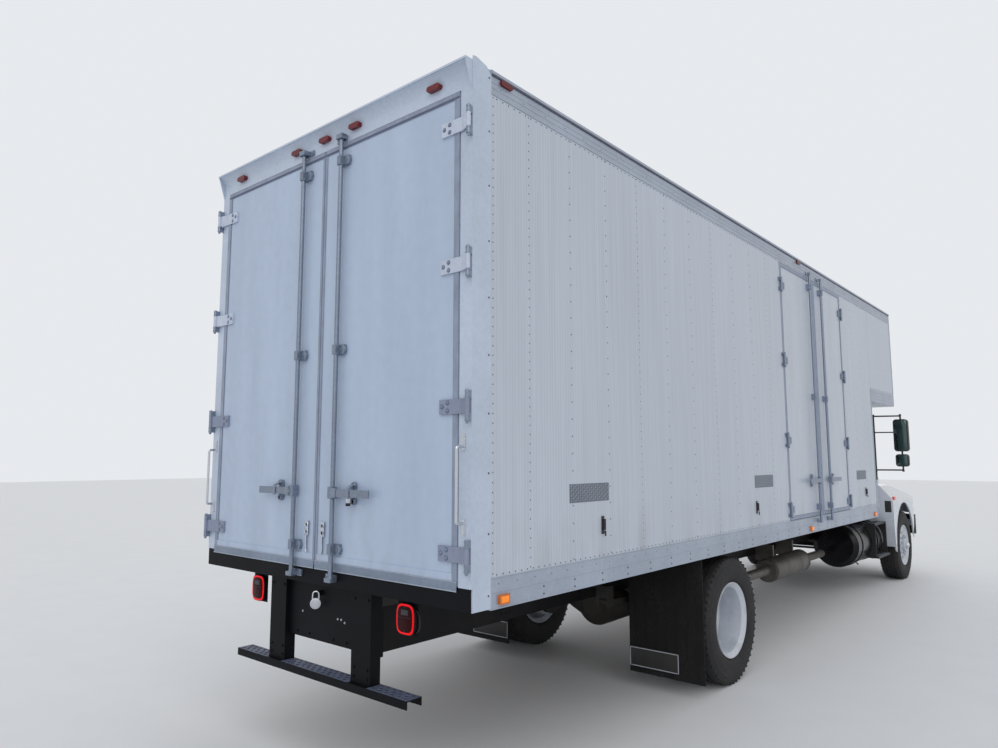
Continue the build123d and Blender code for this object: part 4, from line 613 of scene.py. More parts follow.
DRESS: dict[str, object] = {
    "chassis_frame": FRAME_PAINT, "rear_bumper": STEEL_BLACK,
    "leaf_springs": CAST_STEEL, "rear_axle": CAST_STEEL, "front_axle": CAST_STEEL, "engine": CAST_STEEL,
    "driveline": CAST_STEEL, "tie_rod": CAST_STEEL, "knuckle_left": CAST_STEEL, "knuckle_right": CAST_STEEL,
    "side_tanks": TANKS, "cab_steps": BLACK_PLASTIC, "exhaust": ALU_SHEET, "front_bumper": FRAME_PAINT,
    "mud_flaps": FLAP_RUBBER, "floor_deck": Boards(), "floor_frame": CAST_STEEL, "rear_frame": POST_PAINT,
    "side_walls": PanelSheet(), "front_walls": NoseSheet(), "roof": ROOF_ALU, "top_rails": RAIL_ALU,
    "bottom_rails": RAIL_ALU, "marker_lamps": MARKERS,
    "body_fittings": ZINC, "cab_shell": CAB_PAINT, "cab_glass": Pane("cab_glass"),
    "dashboard": DASH_PLASTIC, "hood": CAB_PAINT, "grille": BLACK_PLASTIC, "headlamps": CLEAR_LENS,
    "side_door_rear": LeafPaint("side_leaf", PanelSheet().colour, side=True, plain_below=1.0),
    "side_door_front": LeafPaint("side_leaf_front", PanelSheet().colour, side=True, plain_below=1.0),
    "side_hardware_rear": ZINC, "side_hardware_front": ZINC,
}
DRESS["rear_hardware_left"] = DRESS["rear_hardware_right"] = DoorHardware("rods_and_straps")
for _, flank in SIDES:
    DRESS[f"rear_door_{flank}"] = LeafPaint(f"rear_leaf_{flank}")
    DRESS[f"cab_door_{flank}"] = CAB_PAINT
    DRESS[f"door_glass_{flank}"] = Pane("door_glass")
    DRESS[f"mirror_{flank}"] = BLACK_PLASTIC
    DRESS[f"front_rim_{flank}"] = RIM_PAINT
    DRESS[f"rear_rims_{flank}"] = RIM_PAINT


class Paints:
    """Each finish made once and handed out by name."""

    def __init__(self) -> None:
        """Start with no material made."""
        self.made: dict[str, bpy.types.Material] = {}

    def of(self, finish: object) -> bpy.types.Material:
        """Material of one finish.

        Args:
            finish: Any of the finish classes.

        Returns:
            Its material, made at the first call.
        """
        if finish.name not in self.made:
            self.made[finish.name] = finish.material()
        return self.made[finish.name]


PAINTS = Paints()


def shown(name: str, data: bpy.types.ID) -> bpy.types.Object:
    """New object of some data, linked into the scene."""
    made = bpy.data.objects.new(name, data)
    bpy.context.scene.collection.objects.link(made)
    return made


def about(middle: float, reach: float) -> Pair:
    """Span of a reach on both sides of a middle."""
    return (middle - reach, middle + reach)


def aimed(centre: Point, along: Point) -> Matrix:
    """Matrix that puts a form built on +Z at a centre, along a direction.

    Args:
        centre: Where its origin goes.
        along: Where its z axis points.

    Returns:
        The matrix.
    """
    return Matrix.Translation(centre) @ Vector(along).to_track_quat("Z", "Y").to_matrix().to_4x4()


class Form:
    """Mesh in the making, in millimetres: x forward from the rear doors, y left, z up from the road."""

    def __init__(self) -> None:
        """Start with an empty mesh."""
        self.mesh = bmesh.new()
        self.tone = 0

    def settle(self, verts: Iterable[bmesh.types.BMVert], bevel: float, segments: int,
               along: str = "") -> None:
        """Give new faces the current tone and round their edges.

        Args:
            verts: The new corners.
            bevel: Width of the rounding, 0 for none.
            segments: Steps of the rounding.
            along: Axis of the only edges to round, or "" for all.
        """
        verts = list(verts)
        for face in {face for vert in verts for face in vert.link_faces}:
            face.material_index = self.tone
        if bevel:
            edges = {edge for vert in verts for edge in vert.link_edges}
            if along:
                pick = "xyz".index(along)
                edges = {e for e in edges
                         if abs((e.verts[0].co - e.verts[1].co).normalized()[pick]) > 0.98}
            bmesh.ops.bevel(self.mesh, geom=list(edges), offset=bevel, offset_type="OFFSET",
                            segments=segments, profile=0.5, affect="EDGES", material=-1,
                            clamp_overlap=True)

    def box(self, x: Pair, y: Pair, z: Pair, bevel: float = 0.0, segments: int = 2,
            along: str = "") -> "Form":
        """Block over three spans, each given either way round, with rounded edges."""
        middle = [(pair[0] + pair[1]) / 2 for pair in (x, y, z)]
        sizes = [abs(pair[1] - pair[0]) for pair in (x, y, z)]
        place = Matrix.Translation(middle) @ Matrix.Diagonal((*sizes, 1.0))
        made = bmesh.ops.create_cube(self.mesh, size=1.0, matrix=place)["verts"]
        self.settle(made, bevel, segments, along)
        return self

    def rod(self, start: Point, end: Point, radius: float, sides: int = 16,
            tip: float | None = None, bevel: float = 0.0) -> "Form":
        """Round bar or cone between two points."""
        run = Vector(end) - Vector(start)
        place = aimed((Vector(start) + Vector(end)) / 2, run)
        made = bmesh.ops.create_cone(self.mesh, cap_ends=True, cap_tris=False, segments=sides,
                                     radius1=radius, radius2=radius if tip is None else tip,
                                     depth=run.length, matrix=place)["verts"]
        self.settle(made, bevel, 2)
        return self

    def lathe(self, points: Sequence[Pair], centre: Point, axis: Point = (0, 1, 0),
              sides: int = 48, closed: bool = False) -> "Form":
        """Outline of (along, radius) points turned about an axis."""
        place = aimed(centre, axis)
        verts = [self.mesh.verts.new(place @ Vector((radius, 0.0, along))) for along, radius in points]
        ends = zip(verts, verts[1:] + ([verts[0]] if closed else []))
        edges = [self.mesh.edges.new(pair) for pair in ends]
        made = bmesh.ops.spin(self.mesh, geom=verts + edges, cent=centre, axis=Vector(axis).normalized(),
                              dvec=(0, 0, 0), angle=math.tau, steps=sides, use_merge=True,
                              use_duplicate=False)["geom_last"]
        grown = self.island([v for v in made if isinstance(v, bmesh.types.BMVert)] or verts)
        bmesh.ops.remove_doubles(self.mesh, verts=grown, dist=0.01)
        for face in {f for v in grown if v.is_valid for f in v.link_faces}:
            face.material_index = self.tone
        return self

    def island(self, seeds: Iterable[bmesh.types.BMVert]) -> list[bmesh.types.BMVert]:
        """All corners joined to the seeds."""
        found, queue = set(), [seed for seed in seeds if seed.is_valid]
        while queue:
            vert = queue.pop()
            if vert not in found:
                found.add(vert)
                queue.extend(edge.other_vert(vert) for edge in vert.link_edges)
        return list(found)

    def slab(self, points: Sequence[Point], push: Point, bevel: float = 0.0,
             segments: int = 2) -> "Form":
        """Flat outline of 3-D points pushed into a solid."""
        face = self.mesh.faces.new([self.mesh.verts.new(point) for point in points])
        made = bmesh.ops.extrude_face_region(self.mesh, geom=[face])["geom"]
        top = [item for item in made if isinstance(item, bmesh.types.BMVert)]
        bmesh.ops.translate(self.mesh, verts=top, vec=push)
        self.settle(self.island(top), bevel, segments)
        return self

    def hoop(self, centre: Point, normal: Point, radius: float, thick: float, sides: int = 24,
             ring: int = 8) -> "Form":
        """Round ring of round bar."""
        angles = [math.tau * index / ring for index in range(ring)]
        points = [(thick * math.sin(angle), radius + thick * math.cos(angle)) for angle in angles]
        return self.lathe(points, centre, normal, sides, True)

    def pipe(self, path: Sequence[Point], radius: float, sides: int = 8,
             closed: bool = False) -> "Form":
        """Bent round bar through points, with its corners eased."""
        curve = bpy.data.curves.new("bend", "CURVE")
        curve.dimensions = "3D"
        curve.bevel_depth = radius
        curve.bevel_resolution = max(1, sides // 4 - 1)
        curve.use_fill_caps = True
        curve.resolution_u = 6
        spline = curve.splines.new("NURBS")
        spline.points.add(len(path) - 1)
        for point, where in zip(spline.points, path):
            point.co = (*where, 1.0)
        spline.order_u = 3
        spline.use_endpoint_u = not closed
        spline.use_cyclic_u = closed
        holder = bpy.data.objects.new("bend", curve)
        drawn = bpy.data.meshes.new_from_object(holder)
        count = len(self.mesh.faces)
        self.mesh.from_mesh(drawn)
        self.mesh.faces.ensure_lookup_table()
        for face in self.mesh.faces[count:]:
            face.material_index = self.tone
        bpy.data.objects.remove(holder)
        bpy.data.curves.remove(curve)
        bpy.data.meshes.remove(drawn)
        return self

    def stamp(self, other: "Form", places: Iterable[Matrix]) -> "Form":
        """Copies of another form at each place, keeping its tones.

        Args:
            other: The form to copy.
            places: One matrix per copy.

        Returns:
            This form.
        """
        master = bpy.data.meshes.new("stamp")
        other.mesh.to_mesh(master)
        for place in places:
            copy = master.copy()
            copy.transform(place)
            self.mesh.from_mesh(copy)
            bpy.data.meshes.remove(copy)
        bpy.data.meshes.remove(master)
        return self

    def studs(self, head: "Form", along: Point, spots: Iterable[Point]) -> "Form":
        """Copies of a head at each spot, standing along a direction."""
        return self.stamp(head, [aimed(spot, along) for spot in spots])

    def piece(self, name: str, body: str, slot: str, *finishes: object, replaces: Sequence[str] = (),
              sharp: float = 32.0) -> bpy.types.Object:
        """Finished object on its body.

        Args:
            name: Its name.
            body: CAD body that it moves with.
            slot: Material slot of the record; not used.
            finishes: One per tone.
            replaces: CAD nodes that it stands for.
            sharp: Angle over which an edge stays sharp, in degrees.

        Returns:
            The object.
        """
        bmesh.ops.recalc_face_normals(self.mesh, faces=self.mesh.faces)
        for face in self.mesh.faces:
            face.smooth = True
        for edge in self.mesh.edges:
            edge.smooth = len(edge.link_faces) == 2 and edge.calc_face_angle(0.0) < math.radians(sharp)
        self.mesh.transform(TO_FRAME)
        data = bpy.data.meshes.new(name)
        self.mesh.to_mesh(data)
        self.mesh.free()
        for finish in finishes:
            data.materials.append(PAINTS.of(finish))
        made = shown(name, data)
        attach(made, body)
        if replaces:
            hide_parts(*replaces)
        triangles = sum(len(face.vertices) - 2 for face in data.polygons)
        LOG.info("%s on %s, %d triangles", name, body, triangles)
        return made


def rivet(radius: float, height: float, sides: int = 8) -> Form:
    """Low domed head standing on the plane z = 0."""
    form = Form()
    form.rod((0, 0, -height * 0.3), (0, 0, height * 0.55), radius, sides, radius * 0.92)
    form.rod((0, 0, height * 0.5), (0, 0, height), radius * 0.9, sides, radius * 0.4)
    return form


def hex_bolt(radius: float, height: float) -> Form:
    """Washer and six-sided head with a domed top, standing on the plane z = 0."""
    form = Form()
    form.rod((0, 0, -0.5), (0, 0, height * 0.22), radius * 1.35, 14)
    form.rod((0, 0, height * 0.2), (0, 0, height * 0.9), radius, 6, bevel=radius * 0.08)
    form.rod((0, 0, height * 0.85), (0, 0, height), radius * 0.8, 12, radius * 0.5)
    return form


def hung(place: Triple, turn: float) -> Matrix:
    """Matrix of a place, with a turn of some degrees about the upright."""
    return Matrix.Translation(place) @ Matrix.Rotation(math.radians(turn), 4, "Z")


def collars(form: Form, rod: Triple, sides: int) -> None:
    """Two stop rings on a lock rod, under and over the guide at a point of it."""
    for dz in (-27.0, 20.0):
        form.lathe([(dz, 13.0), (dz, 21.0), (dz + 7, 21.0), (dz + 7, 13.0)], rod, (0, 0, 1), sides, True)


def eased(corners: Sequence[Triple], reach: float) -> list[Vector]:
    """Control points of a closed outline whose corners are rounded over a reach on both sides.

    Args:
        corners: The sharp corners in order.
        reach: Length of each edge that the rounding takes.

    Returns:
        Three control points per corner.
    """
    points = []
    count = len(corners)
    for index, corner in enumerate(corners):
        here = Vector(corner)
        before = (Vector(corners[index - 1]) - here).normalized() * reach
        after = (Vector(corners[(index + 1) % count]) - here).normalized() * reach
        points += [here + before, here, here + after]
    return points


def steps(start: float, stop: float, pitch: float) -> list[float]:
    """Even series from start to stop, both met, near the pitch."""
    count = max(1, round(abs(stop - start) / pitch))
    return [start + (stop - start) * index / count for index in range(count + 1)]


@dataclass
class LoadBody:
    """Riveted sides, rails, nose and roof of the load body."""

    skin_y: float = SKIN_Y
    rail_y: float = 1295.5
    length: float = 7925.0
    attic_x: float = 9165.0
    nose_x: float = 9225.0
    roof_z: float = 3955.0
    wall_bottom: float = 1215.0
    wall_top: float = 3822.0
    attic_rail_top: float = 2750.0
    rivet_pitch: float = 51.0
    lamp_z: float = 1099.0
    first_column: float = 483.0
    column_pitch: float = 412.5
    door_span: Pair = (4560.0, 6660.0)

    def columns(self, side: int) -> list[Pair]:
        """Upright rivet rows of one side.

        Args:
            side: +1 on the left.

        Returns:
            (x, pitch) of each row; every third one joins two sheets and is dense.
        """
        rows = [(168.0, self.rivet_pitch)]
        for index in range(int((self.attic_x - self.first_column) / self.column_pitch) + 1):
            x = self.first_column + index * self.column_pitch
            if side > 0 or not self.door_span[0] < x < self.door_span[1]:
                rows.append((x, self.rivet_pitch * (1 if index % 3 == 0 else 2)))
        return rows

    def sides(self, side: int, name: str) -> None:
        """Rivets and sheet edges of one side wall; side is +1 on the left."""
        heads, laps = Form(), Form()
        y = side * self.skin_y
        rivets = []
        for x, pitch in self.columns(side):
            low = self.wall_bottom if x < self.length - 55 else self.attic_rail_top
            rivets += [(x, z) for z in steps(low + 20, self.wall_top - 16, pitch)]
            if pitch == self.rivet_pitch:
                laps.box((x - 22, x + 14), (y - side * 0.5, y + side * 0.8),
                         (low + 1, self.wall_top - 1), 0.4, 1)
        rivets += [(x, self.wall_top - 14) for x in steps(200, self.attic_x - 30, self.rivet_pitch)]
        rivets += [(x, self.wall_bottom + 12) for x in steps(200, self.length - 60, self.rivet_pitch)
                   if side > 0 or not self.door_span[0] < x < self.door_span[1]]
        rivets += [(x, self.attic_rail_top + 14)
                   for x in steps(self.length + 30, self.attic_x - 30, 62.0)]
        heads.studs(rivet(4.2, 2.2), (0, side, 0), [(x, y + side * 0.4, z) for x, z in rivets])
        heads.box((150.5, 152.3), (y - side * 0.5, y + side * 1.2),
                  (self.wall_bottom + 1, self.wall_top - 1), 0.3, 1)
        heads.piece(f"side_rivets_{name}", "chassis", "hardware", RIVET_DARK)
        laps.piece(f"side_laps_{name}", "chassis", "panel_white", PanelSheet())

    def nose(self) -> None:
        """Rivet rows on the nose wall and the bulkhead, and the roof's cross seams."""
        heads, seams = Form(), Form()
        places = [(self.nose_x, y, z) for y in steps(-1180, 1180, 393) for z in steps(2640, 3800, 102)]
        places += [(self.nose_x, y, z) for z in (2600.0, 3806.0) for y in steps(-1200, 1200, 62)]
        places += [(self.length, y, z) for y in steps(-1180, 1180, 786) for z in steps(1200, 2540, 102)]
        head = rivet(4.2, 2.2)
        heads.studs(head, (1, 0, 0), places)
        for x in steps(700.0, 8600.0, 1220.0):
            seams.box(about(x, 26), (-1244, 1244), (self.roof_z - 1, self.roof_z + 1.4), 0.6, 1)
            heads.studs(head, (0, 0, 1), [(x + dx, y, self.roof_z + 1)
                                          for y in steps(-1225, 1225, 75) for dx in (-13, 13)])
        for side in (-1, 1):
            heads.studs(head, (0, 0, 1), [(x, side * 1262, self.roof_z + 5) for x in steps(200, 9120, 102)])
        heads.piece("nose_and_roof_rivets", "chassis", "hardware", RIVET_DARK)
        seams.piece("roof_seams", "chassis", "bare_metal", ROOF_ALU)

    def rails(self) -> None:
        """Screws and lips along the top and bottom rails, with a painted shadow strip under the top rail's
        drip edge.
        """
        heads, trim = Form(), Form()
        small, large = rivet(3.6, 2.0), rivet(6.0, 3.4, 10)
        for side in (-1, 1):
            y = side * self.rail_y
            low_y, out = y - side * 3, (0, side, 0)
            heads.studs(small, out, [(x, y, 3872.0) for x in steps(230, self.attic_x - 40, 205.0)])
            heads.studs(large, out, [(x, low_y, z) for x in steps(300, self.length - 90, 305.0)
                                     for z in (1078.0, 1118.0)])
            heads.studs(small, out, [(x, low_y, 1180.0) for x in steps(215, self.length - 60, 152.0)])
            # Strip under the top rail's drip edge, coloured dark blue-grey as painted shadow.
            trim.box((152.0, self.attic_x), (y - side * 2, y + side * 8.5), (3929.0, 3941.0), 2.0, 2, "x")
        lit = Form()
        for side in (-1, 1):
            y = side * (self.rail_y + 12)
            for x in (250.0, 5200.0, self.length - 175):
                lit.box(about(x, 31), (y - side, y + side * 2), about(self.lamp_z, 17), 1.4)
        lit.piece("side_marker_lenses", "chassis", "lens_clear",
                  Lens("amber_lit", (1.0, 0.28, 0.02), 0.85, 0.4))
        heads.piece("rail_screws", "chassis", "hardware", BOLT_STEEL)
        trim.piece("drip_edge_shadow", "chassis", "trim_dark", Coat("drip_edge_shade", srgb(86, 88, 108), 0.5))

    def patches(self) -> None:
        """Tread-plate patches and hold-back catches on the right wall."""
        plate, bars, catch = Form(), Form(), Form()
        y = -self.skin_y
        bar = Form()
        bar.rod((-8, 0, 0), (8, 0, 0), 2.2, 6)
        for x0, x1 in ((860.0, 1290.0), (3720.0, 4160.0), (7000.0, 7420.0)):
            plate.box((x0, x1), (y - 2.6, y + 0.5), (1560, 1670), 1.0, 1)
            for row, z in enumerate(steps(1572, 1658, 14.0)):
                for column, x in enumerate(steps(x0 + 14, x1 - 14, 24.0)):
                    lean = math.radians(40 if (row + column) % 2 else -40)
                    bars.stamp(bar, [Matrix.Translation((x, y - 2.6, z)) @ Matrix.Rotation(lean, 4, "Y")])
        head = rivet(4.0, 2.0)
        for x, z in ((1215.0, 1410.0), (3740.0, 1390.0), (7375.0, 1400.0)):
            catch.box(about(x, 16), (y - 4, y + 0.5), about(z, 55), 1.5, 2)
            catch.box(about(x, 7), (y - 22, y - 2), (z - 30, z + 38), 3.0, 2)
            catch.rod((x, y - 20, z - 34), (x, y - 20, z - 66), 5.0, 10)
            catch.studs(head, (0, -1, 0), [(x, y - 4, z + dz) for dz in (-45, 45)])
        plate.piece("rub_patches", "chassis", "bare_metal",
                    Coat("tread_plate", srgb(120, 128, 140), 0.4, 0.7))
        bars.piece("rub_patch_bars", "chassis", "bare_metal",
                   Coat("tread_bars", srgb(168, 176, 188), 0.3, 0.8))
        catch.piece("hold_back_catches", "chassis", "hardware",
                    Coat("catch_iron", (0.05, 0.045, 0.05), 0.5, 0.4))

    def build(self) -> None:
        """Build every piece of the load body."""
        for side, name in SIDES:
            self.sides(side, name)
        self.nose()
        self.rails()
        self.patches()


@dataclass
class Tyres:
    """Tyres with grooved treads and ringed side walls."""

    radius: float = AXLE_Z
    width: float = 275.0
    bead: float = 286.6
    lugs: int = 54
    dual_half: float = 155.5

    def outline(self, grooves: int) -> list[Pair]:
        """Half-and-half section of the tyre, (along, radius)."""
        half, top = self.width / 2, self.radius
        wall = [(half - inset, radius) for inset, radius in
                ((24, self.bead), (24.4, 305), (12, 316), (5.5, 330), (3.2, 336), (3.2, 342), (2, 346),
                 (0.2, 390), (0, 402), (0.8, 420), (3.4, 438), (2.4, 441), (2.8, 446), (5.2, 450),
                 (10, 474), (17, 492), (26, 500), (38, 504.2))]
        tread = []
        span = half - 40
        for index in range(grooves):
            middle = -span + 2 * span * (index + 1) / (grooves + 1)
            tread += [(middle - 6.5, top), (middle - 4.5, top - 15),
                      (middle + 4.5, top - 15), (middle + 6.5, top)]
        return [(-along, radius) for along, radius in wall] + tread + wall[::-1]

    def build_one(self, form: Form, x: float, y: float, grooves: int, turn: float) -> None:
        """Add one tyre to a form."""
        form.lathe(self.outline(grooves), (x, y, self.radius), (0, 1, 0), 108, True)
        slit = Form()
        half = self.width / 2
        for sign in (-1, 1):
            slit.box((-7.5, 7.5), (sign * (half - 44), sign * (half - 12)),
                     (self.radius - 17, self.radius - 3.4), 1.2, 1)
        hub = Matrix.Translation((x, y, self.radius))
        form.stamp(slit, [hub @ Matrix.Rotation(turn + math.tau * index / self.lugs, 4, "Y")
                          for index in range(self.lugs)])

    def build(self) -> None:
        """Build all six tyres."""
        for side, name in SIDES:
            front = Form()
            self.build_one(front, FRONT_AXLE_X, side * FRONT_WHEEL_Y, 4, 0.0)
            front.piece(f"front_tread_{name}", f"front_wheel_{name}", "tyre", TYRE_RUBBER,
                        replaces=[f"front_tyre_{name}"])
            rear = Form()
            for step in (-1, 1):
                self.build_one(rear, REAR_AXLE_X, side * (DUAL_Y + step * self.dual_half), 3, 0.02 * step)
            rear.piece(f"rear_treads_{name}", f"rear_wheels_{name}", "tyre", TYRE_RUBBER,
                       replaces=[f"rear_tyres_{name}"])


@dataclass
class RearDoors:
    """What the bare rear leaves and frame lack: bolts, collars, links, locks, seal lines and screws."""

    rod_y: float = 200.0
    rod_x: float = -32.0
    hinge_x: float = -30.0
    hinge_y: float = 1293.0
    leaf_y: Pair = (5.0, 1203.0)
    catch_y: float = 378.0
    door_top: float = 3803.0
    door_bottom: float = 1183.0
    hinge_z: tuple[float, ...] = (3609.1, 2838.8, 2089.5, 1340.2)
    guide_z: tuple[float, ...] = (3680.0, 2480.0, 1290.0)
    handle_z: float = 1620.0
    strip_z: Pair = (1156.0, 1208.0)

    def hinge_bolts(self, side: int, form: Form) -> None:
        """Three bolts on the inner end of each strap."""
        bolt = Form()
        bolt.rod((0, 0, -0.5), (0, 0, 1.2), 12.5, 18)
        bolt.tone = 1
        dome = [(1.0, 0.01), (6.5, 0.01), (6.0, 4.0), (4.2, 8.0), (1.0, 10.0)]
        bolt.lathe(dome, (0, 0, 0), (0, 0, 1), 16)
        places = [(1136.0, 21.0), (1096.0, 2.0), (1136.0, -21.0)]
        form.studs(bolt, (-1, 0, 0), [(-12.8, side * y, z + dz) for z in self.hinge_z for y, dz in places])

    def locks(self, side: int, name: str) -> None:
        """Collars, ear bolts, cam ends, handle pivot and hasp of one leaf."""
        form = Form()
        y = side * self.rod_y
        for z in self.guide_z:
            collars(form, (self.rod_x, y, z), 24)
            form.rod((-23, y - 46, z), (-2, y - 46, z), 25, 20, bevel=2.0)
            form.studs(hex_bolt(8.0, 6.0), (-1, 0, 0), [(-23, y - 46, z)])
        for z in (self.door_bottom - 66, self.door_top + 33):
            form.rod((self.rod_x, y, z - 14), (self.rod_x, y, z + 14), 19, 20, bevel=2.0)
        handle_z, catch_y = self.handle_z, side * self.catch_y
        pivot = (self.rod_x - 26, side * 216, handle_z), (self.rod_x - 12, side * 216, handle_z)
        form.rod(*pivot, 11, 14, bevel=1.0)
        form.box((self.rod_x - 29, self.rod_x - 13), (side * 222, side * 262), about(handle_z, 29), 4.0)
        rings = (handle_z + 47, handle_z - 47)
        for z in rings:
            form.rod((-9, catch_y, z), (-16, catch_y, z), 21, 24, bevel=2.0)
            form.hoop((-19, catch_y, z), (1, 0, 0), 14.0, 4.0, 20)
        # Dark discs filling the ring eyes: painted shade inside the rings.
        form.tone = 1
        for z in rings:
            form.rod((-15.8, catch_y, z), (-17.2, catch_y, z), 10.5, 16)
        form.tone = 0
        form.box((-61, -57), about(catch_y, 11), (handle_z - 30, handle_z + 36), 1.8)
        hasp = ((-57, 24), (-57, 36), (-14, 58), (-14, 50))
        form.slab([(x, catch_y - 11, handle_z + dz) for x, dz in hasp], (0, 22, 0), 1.5, 1)
        form.piece(f"lock_fittings_{name}", f"rear_door_{name}", "hardware", ZINC, DARK_PARTS_AND_SHADE)

    def links(self, side: int, name: str) -> None:
        """Hold-back link and wire beside the meeting edge."""
        form = Form()
        y = side * 81
        form.box((-12.0, -8.2), about(y, 17), (1352, 1438), 1.6)
        for z in (1374.0, 1416.0):
            form.hoop((-13.5, y, z), (1, 0, 0), 13.0, 3.4, 20)
        form.pipe([(x, y - side * back, z) for x, back, z in
                   ((-13, 0, 1358), (-15, 0, 1330), (-12, 0, 1290), (-12, 2, 1262), (-16, 6, 1250),
                    (-13, 12, 1256))], 2.6)
        # Dark discs filling the ring eyes: painted shade inside the rings.
        form.tone = 1
        for z in (1374.0, 1416.0):
            form.rod((-11.8, y, z), (-12.8, y, z), 9.6, 16)
        form.piece(f"hold_back_link_{name}", f"rear_door_{name}", "hardware", CHROME, DARK_PARTS_AND_SHADE)

    def seals(self, side: int, name: str) -> None:
        """Seal lips at the meeting edge and the top, darker as painted shadow lines along the seal's inner
        edge and across the top band, and the aluminium strip that hangs over the sill.
        """
        form = Form()
        across = tuple(side * y for y in self.leaf_y)
        # Darker lines in the seal's colour: at the meeting edge, and along the seal's inner edge as a
        # painted shadow line.
        form.box((-4.4, -1.0), (side * 1.8, side * 4.6), (self.door_bottom + 4, self.door_top - 4), 0.6, 1)
        form.box((-4.0, -0.5), (side * 1164.5, side * 1167), (self.strip_z[1], self.door_top - 36), 0.6, 1)
        # Darker line across the top seal band: painted shadow line.
        form.tone = 1
        form.box((-5.6, -4.5), across, (self.door_top - 35, self.door_top - 22), 0.4, 1)
        form.tone = 2
        low, high = self.strip_z
        form.box((-8.4, -5.2), across, (low, high), 1.0)
        form.tone = 3
        form.box((-9.6, -8.2), across, (low, low + 6), 0.6, 1)
        form.box((-9.2, -8.2), across, (high - 5, high - 1), 0.5, 1)
        form.studs(rivet(3.4, 1.8), (-1, 0, 0),
                   [(-8.4, side * y, (low + high) / 2) for y in steps(60, 1160, 157)])
        form.piece(f"seal_lips_{name}", f"rear_door_{name}", "trim_dark",
                   SEAL_LIP_SHADOW, SEAL_SHADE, STRIP_ALU, RAIL_ALU)
        bolts = Form()
        self.hinge_bolts(side, bolts)
        bolts.piece(f"strap_bolts_{name}", f"rear_door_{name}", "hardware", RIVET_DARK, STRAP_BOLTS)
        inner = Form()
        for z in steps(self.door_bottom + 80, self.door_top - 80, 300):
            inner.studs(rivet(5.0, 2.4), (1, 0, 0), [(45, side * y, z) for y in (60, 620, 1140)])
        inner.piece(f"leaf_back_screws_{name}", f"rear_door_{name}", "hardware", BOLT_STEEL)

    def frame_trim(self) -> None:
        """Hinge collars and pins, post bolts, and the keeper cups with their bolts."""
        steel, dark = Form(), Form()
        for side in (-1, 1):
            x, y = self.hinge_x, side * self.hinge_y
            for z in self.hinge_z:
                for low in (42, 70, -50, -78):
                    steel.lathe([(low, 11.6), (low, 13.4), (low + 8, 13.4), (low + 8, 11.6)],
                                (x, y, z), (0, 0, 1), 20, True)
                steel.rod((x, y, z + 78), (x, y, z + 86), 9, 14, 6)
                steel.rod((x, y, z - 92), (x, y, z - 78), 7, 14, 10)
            dark.studs(rivet(6.0, 3.0, 10), (0, side, 0),
                       [(132.0, side * 1295.4, z) for z in steps(1130, 3905, 308)])
            span = (side * 172, side * 226)
            top, bottom = self.door_top, self.door_bottom
            for z, cup_z, cap in ((top + 32, (top + 17, top + 49), (top + 45, top + 49)),
                                  (bottom - 63, (bottom - 83, bottom - 57), (bottom - 83, bottom - 79))):
                steel.studs(hex_bolt(6.5, 4.5), (-1, 0, 0), [(-10, side * y, z) for y in (140.0, 208.0)])
                steel.box((-56, -50), span, cup_z, 2.0)
                for y in span:
                    steel.box((-54, -9), about(y, 3), cup_z, 1.5)
                steel.box((-54, -9), span, cap, 1.5)
        steel.piece("frame_hardware", "chassis", "hardware", ZINC)
        dark.piece("post_bolts", "chassis", "hardware", RIVET_DARK)

    def grab_bars(self) -> None:
        """Thin bright bars beside the doors, their ends bent in to flat feet with dark bolts."""
        form = Form()
        for side in (-1, 1):
            y = side * 1245
            ends = [(x, y, z) for x, z in
                    ((-3, 1497), (-40, 1497), (-55, 1500), (-55, 1518), (-55, 1560))]
            form.tone = 0
            form.pipe(ends + [(x, y, 3380 - z) for x, y, z in reversed(ends)], 8.2, 16)
            for low in (1432.0, 1863.0):
                form.tone = 0
                form.box((-5, 0.2), about(y, 11), (low, low + 85), 2.0)
                form.tone = 1
                heights = (12, 32, 46) if low < 1500 else (39, 53, 73)
                form.studs(hex_bolt(5.5, 4.0), (-1, 0, 0), [(-5, y, low + dz) for dz in heights])
        form.piece("grab_bars", "chassis", "hardware", CHROME, RIVET_DARK, replaces=["grab_handles"])

    def padlocks(self) -> None:
        """Padlock through the right catch, and the round one on the plate under the sill."""
        form = Form()
        form.box((-17, 17), (-14, 14), (0, 17), 3.0, 2)
        form.tone = 1
        form.box((-16, 16), (-13, 13), (16, 46), 3.0, 2)
        bow = ((-11, 44), (-11, 66), (-9, 82), (0, 88), (9, 82), (11, 66), (11, 44))
        form.pipe([(x, 0, z) for x, z in bow], 3.6, 12)
        form.mesh.transform(hung((-43.0, -366.0, 1549.0), 52))
        form.piece("door_padlock", "rear_door_right", "hardware", DARK_PARTS_AND_SHADE, BRIGHT)
        form = Form()
        form.rod((-11, 0, 0), (11, 0, 0), 33, 28, bevel=4.0)
        form.hoop((-11, 0, 0), (1, 0, 0), 22.0, 1.6, 28, 6)
        form.tone = 1
        bow = ((-19, 24), (-19, 50), (-15, 66), (0, 73), (15, 66), (19, 50), (19, 24))
        form.pipe([(0, y, z) for y, z in bow], 4.4, 12)
        form.mesh.transform(hung((20.0, 8.0, 946.0), 48))
        form.piece("plate_padlock", "chassis", "hardware", BRIGHT, CHROME)

    def build(self) -> None:
        """Build every piece at the rear doors."""
        for side, name in SIDES:
            self.locks(side, name)
            self.links(side, name)
            self.seals(side, name)
        self.frame_trim()
        self.grab_bars()
        self.padlocks()


